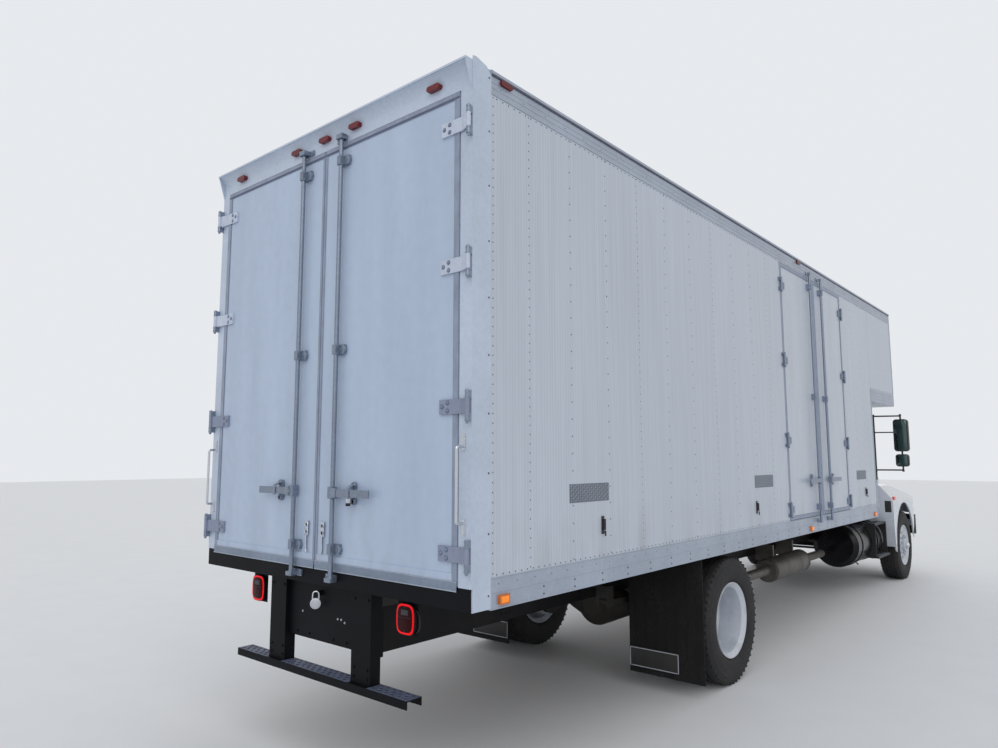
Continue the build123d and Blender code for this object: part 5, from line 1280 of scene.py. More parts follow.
@dataclass
class SideDoors:
    """Bolts, collars and seal lines of the two side leaves."""

    skin_y: float = SKIN_Y
    rod_offset: float = 190.0
    middle: float = 5610.0
    rear_x: float = 4580.0
    front_x: float = 6640.0
    bottom: float = 1220.0
    top: float = 3803.0
    hinge_z: tuple[float, ...] = (3570.5, 2800.8, 2000.1, 1320.7)
    guide_z: tuple[float, ...] = (3690.0, 2480.0, 1310.0)

    def leaf(self, toward: int, name: str) -> None:
        """Build one leaf's fittings; toward is -1 for the rear leaf."""
        steel, lips = Form(), Form()
        hinge_x = self.rear_x if toward < 0 else self.front_x
        y = -(self.skin_y + 11)
        bolt = hex_bolt(6.0, 4.5)
        places = [(hinge_x - toward * dx, z + dz) for z in self.hinge_z
                  for dx, dz in ((40, 0), (86, 17), (86, -17))]
        steel.studs(bolt, (0, -1, 0), [(x, y, z) for x, z in places])
        rod_x = self.middle + toward * self.rod_offset
        rod_y = -(self.skin_y + 36)
        for z in self.guide_z:
            collars(steel, (rod_x, rod_y, z), 20)
            steel.rod((rod_x + 44, -(self.skin_y + 24), z), (rod_x + 44, -self.skin_y, z), 22, 18,
                      bevel=2.0)
            steel.studs(hex_bolt(7.0, 5.0), (0, -1, 0), [(rod_x + 44, -(self.skin_y + 24), z)])
        catch_x = rod_x + toward * 170
        steel.studs(hex_bolt(6.0, 5.0), (0, -1, 0),
                    [(catch_x, -(self.skin_y + 14), z) for z in (1544, 1636)])
        steel.hoop((catch_x, -(self.skin_y + 20), 1640), (0, 1, 0), 13.0, 3.0, 18, 6)
        outer, inner = hinge_x - toward * 5, self.middle + toward * 4
        x0, x1 = min(outer, inner), max(outer, inner)
        face = (-(self.skin_y + 4.6), -(self.skin_y + 0.2))
        # Thin lines in the seal's colour, darker than the leaf: painted shadow along the seal's inner edge.
        for x in (x0 + 33, x1 - 36):
            lips.box((x, x + 3), face, (self.bottom + 36, self.top - 36), 0.6, 1)
        for z in (self.bottom + 36, self.top - 39):
            lips.box((x0 + 36, x1 - 36), face, (z, z + 3), 0.6, 1)
        for x in (x0 + 12, x1 - 12):
            steel.studs(rivet(3.2, 1.8), (0, -1, 0), [(x, -(self.skin_y + 3), z) for z in
                                                      steps(self.bottom + 60, self.top - 60, 152)])
        steel.piece(f"side_fittings_{name}", f"side_door_{name}", "hardware", ZINC)
        lips.piece(f"side_lips_{name}", f"side_door_{name}", "trim_dark", SEAL_LIP_SHADOW)

    def build(self) -> None:
        """Build both leaves' fittings."""
        self.leaf(-1, "rear")
        self.leaf(1, "front")
        fixed = Form()
        pin_y = -(self.skin_y + 20)
        for z in self.hinge_z:
            for x, out in ((self.rear_x, -1), (self.front_x, 1)):
                fixed.studs(hex_bolt(5.0, 3.6), (0, -1, 0),
                            [(x + out * 30, -(self.skin_y + 8), z + dz) for dz in (-52, 52)])
                fixed.rod((x, pin_y, z + 69), (x, pin_y, z + 76), 8, 12, 5)
                fixed.rod((x, pin_y, z - 78), (x, pin_y, z - 69), 5, 12, 8)
        fixed.piece("side_hinge_pins", "chassis", "hardware", BOLT_STEEL)


@dataclass
class RearUnderside:
    """Step tread, lamp rings and bolts below the rear sill."""

    step_half: float = 840.0
    step_top: float = 555.0
    depth: float = 110.0
    upright_y: float = 420.0
    lamp_z: float = 948.0

    def tread(self) -> None:
        """Top sheet of the step, worn and dirty, its bluish pallor painted sky light on the top face, with
        dark discs painted as the shade in its holes, and their pressed rims.
        """
        sheet, holes, ring = Form(), Form(), Form()
        ring.lathe([(-0.5, 10.5), (2.2, 11), (2.2, 12.5), (-0.5, 15)], (0, 0, 0), (0, 0, 1), 12, True)
        spots = []
        for y in steps(-self.step_half + 36, self.step_half - 36, 52):
            for row, x in enumerate((24.0, 54.0, 86.0)):
                shift = 26.0 if row == 1 else 0.0
                if abs(abs(y + shift) - self.upright_y) > 100 and abs(y + shift) < self.step_half - 16:
                    spots.append((x, y + shift))
        inner, outer = self.upright_y - 85, self.upright_y + 85
        for y0, y1 in ((-self.step_half + 2, -outer), (-inner, inner), (outer, self.step_half - 2)):
            sheet.box((3, self.depth - 3), (y0, y1), (self.step_top - 0.4, self.step_top + 0.7), 0.3, 1)
        sheet.stamp(ring, [Matrix.Translation((x, y, self.step_top)) for x, y in spots])
        # Dark discs on the sheet at each hole: painted shade in the holes.
        for x, y in spots:
            holes.rod((x, y, self.step_top + 0.3), (x, y, self.step_top + 1.2), 10.6, 14)
        sheet.piece("step_tread", "chassis", "frame_black", STEP_TOP)
        holes.piece("step_hole_shade", "chassis", "frame_black", DARK_PARTS_AND_SHADE)

    def outline(self, y: float, half: float, tall: float, count: int = 40) -> list[Pair]:
        """Rounded outline of a tail lamp.

        Args:
            y: Middle of the lamp.
            half: Half its width.
            tall: Half its height.
            count: Number of points.

        Returns:
            The (y, z) points in order.
        """
        points = []
        for index in range(count):
            c, s = math.cos(math.tau * index / count), math.sin(math.tau * index / count)
            points.append((y + half * math.copysign(abs(c) ** 0.5, c),
                           self.lamp_z + tall * math.copysign(abs(s) ** 0.6, s)))
        return points

    def lamps(self) -> None:
        """Tail lamps: dark cups, glowing rims, dark red lenses, small windows, and the loop of wire."""
        cup, glow, window, wire = Form(), Form(), Form(), Form()
        layers = ((cup, 0, 74.0, 85.0, 93.8, -20.0), (glow, 0, 70.0, 81.0, 76.0, -5.0),
                  (cup, 1, 59.0, 70.0, 74.0, -5.5))
        for y in (-740.0, 740.0):
            for form, tone, half, tall, x, push in layers:
                form.tone = tone
                form.slab([(x, py, pz) for py, pz in self.outline(y, half, tall)], (push, 0, 0), 1.8)
            cup.tone = 2
            cup.box((67.6, 69.6), about(y, 50), (self.lamp_z + 8, self.lamp_z + 12), 0.8, 1)
            window.box((66.2, 69.6), about(y, 27), (self.lamp_z + 22, self.lamp_z + 52), 2.0, 3)
            window.studs(rivet(4.0, 2.0), (-1, 0, 0), [(69.0, y, self.lamp_z + dz) for dz in (-60, 62)])
        wire.pipe([(92, -800, 1006), (80, -838, 996), (72, -862, 952), (80, -848, 900), (92, -812, 884)],
                  3.0)
        cup.piece("tail_lamp_cups", "chassis", "lens_red",
                  Coat("lamp_cup", (0.008, 0.008, 0.009), 0.5, specular=0.15),
                  Lens("dark_red", (0.05, 0.002, 0.004), 0.02, 0.12), DARK_PARTS_AND_SHADE,
                  replaces=["tail_lamps"])
        glow.piece("lamp_rings", "chassis", "lens_red", Lens("lit_red", (0.80, 0.002, 0.008), 1.2, 0.2))
        window.piece("lamp_windows", "chassis", "lens_clear",
                     Coat("lamp_window", (0.05, 0.05, 0.06), 0.25, specular=0.3))
        wire.piece("lamp_wire", "chassis", "trim_dark", BLACK_PLASTIC)

    def bolts(self) -> None:
        """Small bright bolts on the plate, welds and bolts of the uprights, and gussets behind them."""
        form = Form()
        spots = [(60.0, y, z) for y, z in ((365, 852), (194, 872), (-163, 871), (-196, 871), (-230, 858))]
        form.studs(hex_bolt(5.0, 5.0), (-1, 0, 0), spots)
        form.piece("plate_bolts", "chassis", "hardware", BRIGHT)
        welds = Form()
        weld_z = self.step_top + 1
        for side in (-1, 1):
            for edge in (335.0, 505.0):
                welds.rod((28, side * edge, weld_z), (103, side * edge, weld_z), 4.0, 6)
            for z in (590.0, 640.0, 1020.0):
                welds.studs(hex_bolt(7.5, 6.0), (-1, 0, 0), [(28, side * y, z) for y in (360, 480)])
        welds.studs(hex_bolt(7.5, 6.0), (-1, 0, 0), [(60, y, 745) for y in (-250, -120, 120, 250)])
        welds.piece("step_welds", "chassis", "frame_black", STEEL_BLACK)
        gusset = Form()
        for side in (-1, 1):
            for y in (346.0, 494.0):
                face = ((103.2, 1060), (103.2, 760), (118, 790), (118, 1060))
                gusset.slab([(x, side * (y - 4), z) for x, z in face], (0, side * 8, 0), 1.0, 1)
        gusset.piece("upright_gussets", "chassis", "frame_black", FRAME_PAINT)

    def flaps(self) -> None:
        """Moulded ribs, clamp bar and blank framed plate on each mud flap."""
        ribs, bar, plate = Form(), Form(), Form()
        for side in (-1, 1):
            for y in steps(700, 1230, 88):
                ribs.box((2608.5, 2612.5), (side * y, side * (y + 5)), (150, 930), 1.5, 1)
            bar.box((2606, 2612), (side * 650, side * 1240), (1000, 1040), 2.0)
            bar.studs(hex_bolt(8.0, 6.0), (-1, 0, 0),
                      [(2606, side * y, 1020) for y in (690, 860, 1030, 1200)])
            y0, y1 = sorted((side * 622, side * 1078))
            y0, y1 = (y0 if side < 0 else y0 + 20), (y1 - 20 if side < 0 else y1)
            plate.tone = 0
            plate.box((2602.5, 2608), (y0, y1), (165, 320), 2.0)
            plate.tone = 1
            for z in (170.0, 309.0):
                plate.box((2601.2, 2603), (y0 + 6, y1 - 6), (z, z + 5), 0.6, 1)
            for y in (y0 + 6, y1 - 11):
                plate.box((2601.2, 2603), (y, y + 5), (170, 314), 0.6, 1)
        ribs.piece("flap_ribs", "chassis", "flap", FLAP_RUBBER)
        bar.piece("flap_clamps", "chassis", "hardware", FRAME_PAINT)
        plate.piece("flap_plates", "chassis", "flap", BLACK_PLASTIC,
                    Coat("plate_white", srgb(196, 202, 212), 0.5))

    def build(self) -> None:
        """Build every piece below the sill."""
        self.tread()
        self.lamps()
        self.bolts()
        self.flaps()


@dataclass
class WheelTrim:
    """Nuts, caps and valves of the wheels."""

    count: int = 10
    front_circle: float = 134.0
    rear_circle: float = 143.0

    def nuts(self, form: Form, centre: Triple, axis: Triple, circle: float, size: float) -> None:
        """Ring of wheel nuts with their studs."""
        nut = Form()
        nut.rod((0, 0, -1), (0, 0, 4), size * 1.3, 16)
        nut.rod((0, 0, 3), (0, 0, 22), size, 6, bevel=1.2)
        nut.rod((0, 0, 22), (0, 0, 30), size * 0.55, 10, size * 0.45)
        around = Vector(axis).to_track_quat("Z", "Y")
        turns = [math.tau * (index + 0.5) / self.count for index in range(self.count)]
        form.studs(nut, axis, [Vector(centre) + around @ Vector((circle * math.cos(turn),
                                                                 circle * math.sin(turn), 0))
                               for turn in turns])

    def build(self) -> None:
        """Build the trim of all wheels."""
        for side, name in SIDES:
            out = (0.0, float(side), 0.0)
            front = Form()
            x, y, z = FRONT_AXLE_X, FRONT_WHEEL_Y, AXLE_Z
            self.nuts(front, (x, side * (y + 112), z), out, self.front_circle, 16.0)
            front.lathe([(0, 0), (20, 0), (20, 22), (14, 34), (0, 40)], (x, side * (y + 172), z), out, 28)
            front.rod((x + 235, side * (y + 92), z), (x + 226, side * (y + 128), z), 4.5, 10)
            front.piece(f"front_hub_trim_{name}", f"front_wheel_{name}", "hardware", CHROME)
            rear = Form()
            x, y = REAR_AXLE_X, DUAL_Y
            self.nuts(rear, (x, side * (y + 13), z), out, self.rear_circle, 15.0)
            cap = [(118, 0), (126, 0), (126, 30), (120, 60), (112, 84), (106, 84)]
            rear.lathe(cap, (x, side * y, z), out, 28)
            ring = [math.tau * index / 8 for index in range(8)]
            rear.studs(hex_bolt(8.0, 7.0), out, [(x + 98 * math.cos(angle), side * (y + 62),
                                                  z + 98 * math.sin(angle)) for angle in ring])
            rear.rod((x, side * (y + 30), z + 236), (x, side * (y + 95), z + 222), 4.5, 10)
            rear.piece(f"rear_hub_trim_{name}", f"rear_wheels_{name}", "hardware", ZINC)


@dataclass
class Cushion:
    """Padded seat part: swollen cloth with sewn channels."""

    name: str
    low: Triple
    high: Triple
    lean: float = 0.0
    channels: int = 4
    voxel: float = 0.014
    groove: float = 0.011
    puff: float = 0.022
    inset: float = 12.0

    def swell(self, made: bpy.types.Object) -> None:
        rest = [vert.co.copy() for vert in made.data.vertices]
        cloth = made.modifiers.new("cover", "CLOTH")
        cloth.settings.use_pressure = True
        cloth.settings.uniform_pressure_force = 4.0
        cloth.settings.effector_weights.gravity = 0.0
        cloth.settings.quality = 4
        scene = bpy.context.scene
        for step in range(1, 16):
            scene.frame_set(step)
        depsgraph = bpy.context.evaluated_depsgraph_get()
        shaped = [vert.co.copy() for vert in made.evaluated_get(depsgraph).data.vertices]
        made.modifiers.remove(cloth)
        scene.frame_set(1)
        for vert, before, after in zip(made.data.vertices, rest, shaped):
            move = after - before
            vert.co = before + (move if move.length < self.puff else move.normalized() * self.puff)

    def build(self) -> None:
        """Build, swell, sew and place the cushion."""
        form = Form()
        sizes = [b - a for a, b in zip(self.low, self.high)]
        middle = [(a + b) / 2 for a, b in zip(self.low, self.high)]
        form.box(*(about(0.0, size / 2 - self.inset) for size in sizes), 26.0, 3)
        form.mesh.transform(Matrix.Scale(0.001, 4))
        data = bpy.data.meshes.new(self.name)
        form.mesh.to_mesh(data)
        form.mesh.free()
        made = shown(self.name, data)
        remesh = made.modifiers.new("even", "REMESH")
        remesh.mode = "VOXEL"
        remesh.voxel_size = self.voxel
        depsgraph = bpy.context.evaluated_depsgraph_get()
        even = bpy.data.meshes.new_from_object(made.evaluated_get(depsgraph))
        made.modifiers.remove(remesh)
        made.data = even
        self.swell(made)
        work = bmesh.new()
        work.from_mesh(made.data)
        bmesh.ops.smooth_vert(work, verts=work.verts, factor=0.5,
                              use_axis_x=True, use_axis_y=True, use_axis_z=True)
        width = sizes[1] / 1000
        axis = 2 if sizes[0] > sizes[2] else 0
        for vert in work.verts:
            across = (vert.co.y / width + 0.5) * self.channels
            seam = round(across)
            if 0 < seam < self.channels:
                dent = self.groove * math.exp(-((across - seam) / 0.07) ** 2)
                vert.co[axis] -= dent if vert.co[axis] > 0 else -dent
        turn = Matrix.Rotation(self.lean, 4, "Y")
        place = Matrix.Translation(((middle[0] + DATUM_X) / 1000, middle[1] / 1000, middle[2] / 1000))
        work.transform(place @ turn)
        bmesh.ops.recalc_face_normals(work, faces=work.faces)
        for face in work.faces:
            face.smooth = True
        work.to_mesh(made.data)
        work.free()
        made.data.materials.clear()
        made.data.materials.append(PAINTS.of(SeatCloth()))
        smooth = made.modifiers.new("round", "SUBSURF")
        smooth.levels = smooth.render_levels = 1
        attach(made, "chassis")
        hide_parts("cab_seats")
        LOG.info("%s on chassis", self.name)


@dataclass
class Cab:
    """Seats, handles, wipers, window rubbers and roof lamp feet of the cab."""

    floor: float = 1060.0
    rear_x: float = CAB_REAR_X
    front_x: float = CAB_FRONT_X
    belt_z: float = 1600.0
    half: float = 1010.0
    lean: float = 0.1446

    def seats(self) -> None:
        """Two padded seats on their bases."""
        bases = Form()
        x, z = self.rear_x, self.floor
        for name, y0, y1, channels in (("driver", 210.0, 740.0, 4), ("bench", -780.0, -60.0, 6)):
            Cushion(f"seat_back_{name}", (x + 165, y0, z + 365), (x + 270, y1, z + 965),
                    -0.14, channels).build()
            Cushion(f"seat_cushion_{name}", (x + 245, y0, z + 235), (x + 595, y1, z + 385),
                    -0.03, channels).build()
            bases.box((x + 225, x + 500), (y0 + 40, y1 - 40), (z + 1, z + 245), 14.0, 3)
            for runner in ((y0 + 70, y0 + 100), (y1 - 100, y1 - 70)):
                bases.box((x + 215, x + 520), runner, (z + 0.5, z + 30), 4.0)
            for fold in range(60, 228, 28):
                bases.box((x + 222, x + 503), (y0 + 34, y1 - 34), (z + fold, z + fold + 10), 4.0)
        base = bases.piece("seat_bases", "chassis", "interior", DASH_PLASTIC)
        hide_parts("cab_seats")

    def on_side(self, x: float, z: float, side: int, out: float = 0.0) -> Triple:
        """Point on the cab's side; x counts from its rear face."""
        return (self.rear_x + x, side * (self.half + out - max(0.0, z - self.belt_z) * self.lean), z)

    def on_screen(self, y: float, z: float, out: float = 0.0) -> Triple:
        """Point on the windscreen's slope."""
        return (self.front_x + out - (z - 1630) * 360 / 740, y, z)

    def doors(self, side: int, name: str) -> None:
        """Handle, window rubber, mouldings, inner card and mirror faces of one cab door."""
        form = Form()
        y = side * self.half
        x0, x1 = self.rear_x, self.front_x
        form.box((x0 + 200, x0 + 330), (y - side * 2, y + side * 4), (1500, 1548), 6.0, 3)
        window = ((137, 1652), (866, 1612), (620, 2223), (207, 2223), (137, 2153))
        form.pipe(eased([self.on_side(x, z, side, 2.0) for x, z in window], 40.0), 9.0, closed=True)
        form.tone = 1
        grip = ((210, 3, 1522), (216, 26, 1526), (260, 30, 1528), (310, 26, 1526), (320, 3, 1522))
        form.pipe([(x0 + dx, y + side * out, z) for dx, out, z in grip], 8.0, 12)
        form.rod((x0 + 350, y - side * 2, 1524), (x0 + 350, y + side * 5, 1524), 9, 14)
        form.piece(f"door_handle_{name}", f"cab_door_{name}", "trim_dark", BLACK_PLASTIC, CHROME)
        trim = Form()
        trim.box((x0 + 80, x0 + 952), (y - side * 1, y + side * 3.0), (1178, 1192), 2.5, 2)
        trim.box((x0 + 80, x0 + 952), (y - side * 1, y + side * 2.2), (1052, 1060), 1.5, 2)
        trim.piece(f"door_rub_strip_{name}", f"cab_door_{name}", "trim_dark", BLACK_PLASTIC)
        inner = Form()
        inner.box((x0 + 150, x0 + 870), (side * 942, side * 950.2), (1080, 1560), 10.0, 3)
        inner.box((x0 + 370, x0 + 720), (side * 905, side * 944), (1370, 1400), 8.0, 3)
        inner.box((x0 + 230, x0 + 350), (side * 930, side * 944), (1440, 1480), 5.0, 3)
        inner.piece(f"door_card_{name}", f"cab_door_{name}", "interior", DASH_PLASTIC)
        glass = Form()
        glass.box((x1 - 44, x1 - 40.4), (side * 1275, side * 1439), (1938, 2372), 1.5, 2)
        glass.box((x1 - 44, x1 - 40.6), (side * 1286, side * 1428), (1716, 1864), 1.5, 2)
        glass.piece(f"mirror_faces_{name}", f"cab_door_{name}", "glass", MIRROR_GLASS)
        clamps = Form()
        for z in (1640.0, 2200.0, 2452.0):
            for x, y, radius in ((x1, side * 1357, 16), (x1 - 120, side * 1025.3, 15)):
                clamps.rod((x, y, z - 14), (x, y, z + 14), radius, 14, bevel=2.0)
        clamps.studs(hex_bolt(6.5, 5.0), (0, side, 0), [(x, side * 1024.2, z) for z in (1515.0, 1585.0)
                                                        for x in (x1 - 170, x1 - 110)])
        clamps.piece(f"mirror_clamps_{name}", f"cab_door_{name}", "trim_dark", BLACK_PLASTIC)

    def screens(self) -> None:
        """Window rubbers of the windscreen and back window, and the parked wipers."""
        form = Form()
        corners = ((-862, 1678), (862, 1678), (772, 2302), (-772, 2302))
        form.pipe(eased([self.on_screen(y, z, 3.0) for y, z in corners], 60.0), 11.0, closed=True)
        form.pipe([self.on_screen(0, z, -24.0) for z in (1690, 1990, 2290)], 6.0)
        back = ((-632, 1738), (632, 1738), (612, 2142), (-612, 2142))
        form.pipe(eased([(self.rear_x - 1, y, z) for y, z in back], 50.0), 10.0, closed=True)
        for foot in (-600.0, 100.0):
            hinge = Vector(self.on_screen(foot, 1652, 14.0))
            elbow = Vector(self.on_screen(foot + 210, 1700, 26.0))
            tip = Vector(self.on_screen(foot + 440, 1735, 24.0))
            form.rod(hinge - Vector((14, 0, 7)), hinge + Vector((10, 0, 5)), 15, 14, bevel=2.0)
            form.pipe([hinge, elbow, tip], 5.0)
            low = Vector(self.on_screen(foot + 130, 1704, 12.0))
            high = Vector(self.on_screen(foot + 700, 1728, 12.0))
            form.rod(low, high, 5.0, 6)
            form.rod(low + Vector((4, 0, 2)), high + Vector((4, 0, 2)), 3.0, 6)
        form.piece("screen_rubbers", "chassis", "trim_dark", SEAL_RUBBER)

    def roof(self) -> None:
        """Feet of the roof lamps, and grab rails beside the doors."""
        form = Form()
        for y in (-620.0, -200.0, 0.0, 200.0, 620.0):
            form.box((self.rear_x + 460, self.rear_x + 570), about(y, 38), (2429, 2434), 2.0, 2)
        form.piece("roof_lamp_gaskets", "chassis", "trim_dark", SEAL_RUBBER)
        rails = Form()
        bends = ((1008, 1180), (1042, 1190), (1050, 1230), (1050, 1500), (1042, 1540), (1008, 1550))
        for side in (-1, 1):
            rails.pipe([(self.rear_x + 30, side * y, z) for y, z in bends], 9.0, 12)
        rails.piece("cab_grab_rails", "chassis", "hardware", CHROME)

    def inside(self) -> None:
        """Instrument cluster, vents, pedals, sun visors and floor mat."""
        wall = self.front_x - 60
        form = Form()
        form.box((wall - 262, wall - 232), (330, 620), (1500, 1578), 8.0, 3)
        for y in (-700.0, -420.0, 60.0, 240.0):
            form.box((wall - 246, wall - 236), about(y, 60), (1500, 1548), 4.0, 2)
        form.box((self.rear_x + 80, wall - 130), (-900, 900), (1060.5, 1068), 3.0, 2)
        for y in (-640.0, 160.0):
            form.box((self.front_x - 380, self.front_x - 300), (y, y + 480), (2268, 2284), 6.0, 3)
        for y, z in ((330.0, 1150.0), (430.0, 1150.0), (560.0, 1170.0)):
            form.box((wall - 190, wall - 182), (y, y + 60), (z, z + 70), 3.0, 2)
            form.rod((wall - 184, y + 30, z + 40), (wall - 100, y + 30, z + 150), 7, 8)
        form.piece("cab_fittings", "chassis", "interior", DASH_PLASTIC)
        dials = Form()
        for y in (400.0, 540.0):
            dials.lathe([(0, 0), (2, 30), (6, 36), (2, 38), (0, 38)], (wall - 262, y, 1540), (-1, 0, 0), 28)
        for y in (342.0, 470.0, 608.0):
            dials.lathe([(0, 0), (2, 11), (4, 14), (0, 15)], (wall - 262, y, 1518), (-1, 0, 0), 16)
        dials.piece("dials", "chassis", "interior", CLEAR_LENS)

    def build(self) -> None:
        """Build every piece of the cab."""
        self.seats()
        for side, name in SIDES:
            self.doors(side, name)
        self.screens()
        self.roof()
        self.inside()


@dataclass
class Underbody:
    """Bolts, clamps, beads and grip bars under the floor."""

    rail_y: float = 432.0
    muffler_y: float = -640.0
    muffler_z: float = 560.0

    def axle_clamps(self) -> None:
        """U-bolts and top plates of the four spring packs."""
        form = Form()
        nut = hex_bolt(15.0, 18.0)
        for x, y, seat_z, pack in ((FRONT_AXLE_X, 392.0, 520.0, 60.0), (REAR_AXLE_X, 500.0, 592.0, 75.0)):
            top = seat_z + pack
            for side in (-1, 1):
                for rx, ry in ((x + dx, side * y + dy) for dx in (-66, 66) for dy in (-46, 46)):
                    form.rod((rx, ry, seat_z - 110), (rx, ry, top + 26), 9, 10)
                    form.studs(nut, (0, 0, 1), [(rx, ry, top + 14)])
                form.box(about(x, 90), about(side * y, 60), (top, top + 14), 3.0)
        form.piece("axle_clamps", "chassis", "castings", CAST_STEEL)

    def rails(self) -> None:
        """Rivet rows at the crossmembers and brackets on the frame rails."""
        form = Form()
        head = rivet(9.0, 6.0)
        for side in (-1, 1):
            for x in (1300.0, 2450.0, 4050.0, 5600.0, 7300.0, 10630.0):
                spots = [(x + dx, z) for dx in (-45, 0, 45) for z in (745, 830, 915)]
                form.studs(head, (0, side, 0), [(sx, side * self.rail_y, z) for sx, z in spots])
        form.piece("rail_rivets", "chassis", "frame_black", FRAME_PAINT)

    def tank(self) -> None:
        """Filler cap, drain, end beads and strap bolts of the tank."""
        form = Form()
        y, z = -752.0, 650.0
        form.rod((8700, y - 110, z + 250), (8700, y - 128, z + 300), 52, 24, bevel=4.0)
        form.rod((8700, y - 128, z + 300), (8700, y - 134, z + 318), 46, 20, 40)
        for x in (7880.0, 9090.0):
            form.hoop((x, y, z), (1, 0, 0), 288.0, 5.0, 48, 6)
        for x in (8100.0, 8870.0):
            form.lathe([(-20, 295), (-20, 299), (20, 299), (20, 295)], (x, y, z), (1, 0, 0), 48, True)
            form.rod((x, y - 190, z - 236), (x, y - 214, z - 262), 9, 10)
        form.rod((8500, y, z - 296), (8500, y, z - 286), 20, 12)
        form.piece("tank_fittings", "chassis", "tank", TANK_DARK)

    def exhaust(self) -> None:
        """Clamps and end seams of the muffler."""
        form = Form()
        y, z = self.muffler_y, self.muffler_z
        for x in (5655.0, 5700.0, 6700.0, 6745.0):
            form.hoop((x, y, z), (1, 0, 0), 129.0, 4.0, 36, 6)
        for x in (5620.0, 6790.0):
            form.lathe([(-20, 50), (-20, 57), (20, 57), (20, 50)], (x, y, z), (1, 0, 0), 28, True)
        form.piece("muffler_clamps", "chassis", "bare_metal", ALU_SHEET)

    def steps(self) -> None:
        """Grip bars on the cab steps."""
        form = Form()
        for side in (-1, 1):
            for z, y1 in ((905.0, 1078.0), (455.0, 1106.0)):
                for y in steps(984, y1, 24):
                    if side > 0 or y > 1050:
                        form.box((8590, 9150), (side * y, side * (y + 7)), (z - 1, z + 5), 1.5, 1)
        form.piece("step_grips", "chassis", "bare_metal", STEP_METAL)

    def build(self) -> None:
        """Build every piece under the floor."""
        self.axle_clamps()
        self.rails()
        self.tank()
        self.exhaust()
        self.steps()


@dataclass
class HoodTrim:
    """Lamp bowls, crease lamps, slots, seams, latches and grille trim of the hood."""

    rear_x: float = 9245.0
    nose_x: float = 10880.0
    fender_y: float = 1190.0
    crease_z: float = 1195.0
    lamp_z: float = 1052.0
    arch: float = 575.0

    def lamps(self) -> None:
        """Lamp bowls with their lenses and rubber frames, and the lamp on each fender's crease."""
        chrome, glass, rubber, amber = Form(), Form(), Form(), Form()
        front = self.nose_x - 42
        for side in (-1, 1):
            y0, y1 = sorted((side * 694, side * 956))
            for y in (side * 760, side * 880):
                chrome.lathe([(0, 10), (6, 48), (10, 54), (4, 54)],
                             (front, y, self.lamp_z), (1, 0, 0), 24)
                glass.lathe([(10, 0), (14, 0), (13, 24), (10, 50), (6, 50)],
                            (front - 2, y, self.lamp_z), (1, 0, 0), 24)
            for low, high in ((y0 - 2, y0 + 6), (y1 - 6, y1 + 2)):
                rubber.box((front - 2, front + 7), (low, high), (988, 1117), 2.0)
            for z in (986.0, 1113.0):
                rubber.box((front - 2, front + 7), (y0, y1), (z, z + 6), 2.0)
            amber.box((self.rear_x + 90, self.rear_x + 230),
                      (side * (self.fender_y - 30), side * (self.fender_y - 2)),
                      (self.crease_z + 8, self.crease_z + 62), 9.0, 3)
        for z in (1012.0, 1168.0):
            chrome.box((self.nose_x - 2, self.nose_x + 6), (-430, 430), about(z, 5), 3.0)
        chrome.piece("hood_chrome", "hood", "hardware", CHROME)
        glass.piece("lamp_bowls", "hood", "lens_clear", CLEAR_LENS)
        rubber.piece("lamp_rubbers", "hood", "trim_dark", SEAL_RUBBER)
        amber.piece("crease_lamps", "hood", "lens_red", Lens("crease_lens", (0.75, 0.05, 0.03), 0.4))

    def fenders(self) -> None:
        """Crease mouldings, rear splash panel slots, arch lips and the hood's hold-down latches."""
        dark, lips, bright = Form(), Form(), Form()
        x, reach = self.rear_x, self.arch + 6
        turns = [math.radians(angle) for angle in range(0, 181, 12)]
        for side in (-1, 1):
            dark.box((x - 1.5, x + 4), (side * 1074, side * 1162), (1030, 1196), 9.0, 3)
            lips.pipe([(FRONT_AXLE_X + reach * math.cos(turn), side * (self.fender_y - 3),
                        self.arch + reach * math.sin(turn)) for turn in turns], 7.0)
            dark.box((x + 95, x + 120), (side * 900, side * 926), (1300, 1400), 6.0, 3)
            bright.box((x + 98, x + 117), (side * 924, side * 932), (1320, 1380), 3.0)
        for y in (-640.0, 640.0):
            dark.box((x - 1.5, x + 500), about(y, 1.4), (1594.5, 1597.5), 0.5, 1)
        dark.piece("hood_slots", "hood", "trim_dark", BLACK_PLASTIC)
        lips.piece("arch_lips", "hood", "cab_white", CAB_PAINT)
        bright.piece("hood_latches", "hood", "hardware", CHROME)

    def build(self) -> None:
        """Build every piece of the hood."""
        self.lamps()
        self.fenders()


@dataclass
class FrontBumper:
    """Bolts and a bare plate holder on the front bumper."""

    front_x: float = 10900.0

    def build(self) -> None:
        """Build the bumper's trim."""
        form = Form()
        for side in (-1, 1):
            form.studs(hex_bolt(11.0, 7.0), (200, side * 170, 0),
                       [(self.front_x - 30 - 170 * part, side * (985 + 200 * part), z)
                        for part in (0.25, 0.75) for z in (700, 840)])
        form.piece("bumper_bolts", "chassis", "hardware", BOLT_STEEL)
        plate = Form()
        plate.box((self.front_x - 36, self.front_x - 32), (-155, 155), (462, 622), 2.0)
        for z in (468.0, 611.0):
            plate.box((self.front_x - 33, self.front_x - 30), (-153, 153), (z, z + 6), 1.0)
        plate.piece("bare_plate_holder", "chassis", "frame_black", BLACK_PLASTIC)


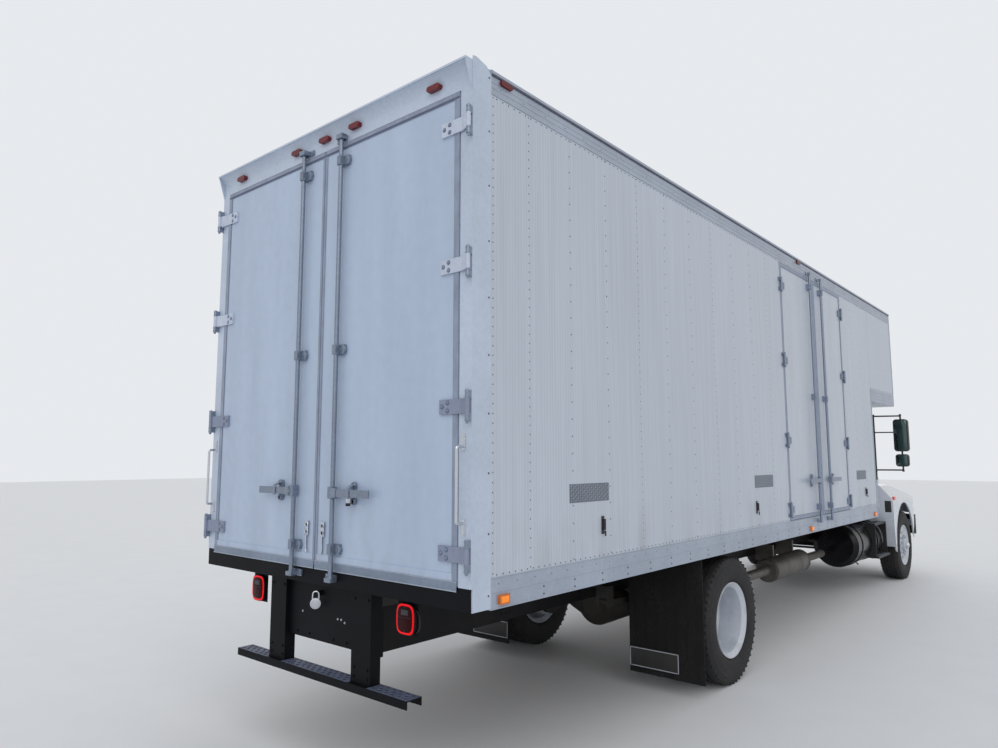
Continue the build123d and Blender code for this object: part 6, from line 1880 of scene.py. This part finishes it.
@dataclass
class Studio:
    """Camera, lamps, floor and sky."""

    place: Triple = (-8.1098, -3.7811, 1.8251)
    yaw: float = 40.58
    pitch: float = 6.64
    lens: float = 26.015
    ambient: float = 0.68
    backdrop: Triple = (0.80, 0.82, 0.85)

    def camera(self) -> None:
        """Camera where the photograph was taken."""
        data = bpy.data.cameras.new("view")
        data.lens = self.lens
        data.sensor_width = 36.0
        data.sensor_fit = "HORIZONTAL"
        data.clip_end = 500.0
        made = shown("view", data)
        yaw, pitch = math.radians(self.yaw), math.radians(self.pitch)
        look = Vector((math.cos(yaw) * math.cos(pitch), math.sin(yaw) * math.cos(pitch),
                       math.sin(pitch)))
        made.location = self.place
        made.rotation_mode = "QUATERNION"
        made.rotation_quaternion = look.to_track_quat("-Z", "Y")
        bpy.context.scene.camera = made

    def lamps(self) -> None:
        """Two wide soft suns: one from behind the camera, one from the front left."""
        for name, strength, direction in (("key", 0.85, (0.55, 0.45, -0.62)),
                                          ("fill", 0.4, (-0.8, -0.5, -0.5))):
            data = bpy.data.lights.new(name, "SUN")
            data.energy = strength
            data.angle = math.radians(70)
            made = shown(name, data)
            made.rotation_mode = "QUATERNION"
            made.rotation_quaternion = Vector(direction).to_track_quat("-Z", "Y")

    def sky(self) -> None:
        """Even pale light all round, with a plain pale backdrop for the camera."""
        world = bpy.data.worlds.new("sky")
        bpy.context.scene.world = world
        world.use_nodes = True
        tree = world.node_tree
        tree.nodes.clear()
        light = grow(tree, "ShaderNodeBackground", None, {0: (1.0, 1.0, 1.0), 1: self.ambient})
        seen = grow(tree, "ShaderNodeBackground", None, {0: self.backdrop, 1: 1.0})
        ray = grow(tree, "ShaderNodeLightPath").outputs["Is Camera Ray"]
        mix = grow(tree, "ShaderNodeMixShader", None,
                   {0: ray, 1: light.outputs[0], 2: seen.outputs[0]})
        grow(tree, "ShaderNodeOutputWorld", None, {0: mix.outputs[0]})

    def floor(self) -> None:
        """Pale floor far past the view."""
        grid = bmesh.new()
        bmesh.ops.create_grid(grid, x_segments=2, y_segments=2, size=60.0)
        data = bpy.data.meshes.new("floor")
        grid.to_mesh(data)
        grid.free()
        finish = Coat("studio_floor", (0.70, 0.72, 0.75), 0.8, uneven=0.01, grime=0.0)
        data.materials.append(PAINTS.of(finish))
        shown("floor", data)

    def build(self) -> None:
        """Set the whole studio."""
        self.camera()
        self.lamps()
        self.sky()
        self.floor()
        bpy.context.scene.view_settings.view_transform = "Standard"


def dress_nodes() -> None:
    """Give every carried-over CAD node its finish."""
    for name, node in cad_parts.items():
        finish = DRESS.get(name)
        if finish is None:
            continue
        node.data.materials.clear()
        node.data.materials.append(PAINTS.of(finish))


def main() -> None:
    """Build the truck's sub-assemblies in order."""
    Studio().build()
    dress_nodes()
    for part in (LoadBody(), Tyres(), WheelTrim(), RearDoors(), SideDoors(), RearUnderside(),
                 Underbody(), Cab(), HoodTrim(), FrontBumper()):
        LOG.info("building %s", type(part).__name__)
        part.build()


if __name__ == "__main__":
    logging.basicConfig(level=logging.INFO, format="%(message)s")
    main()
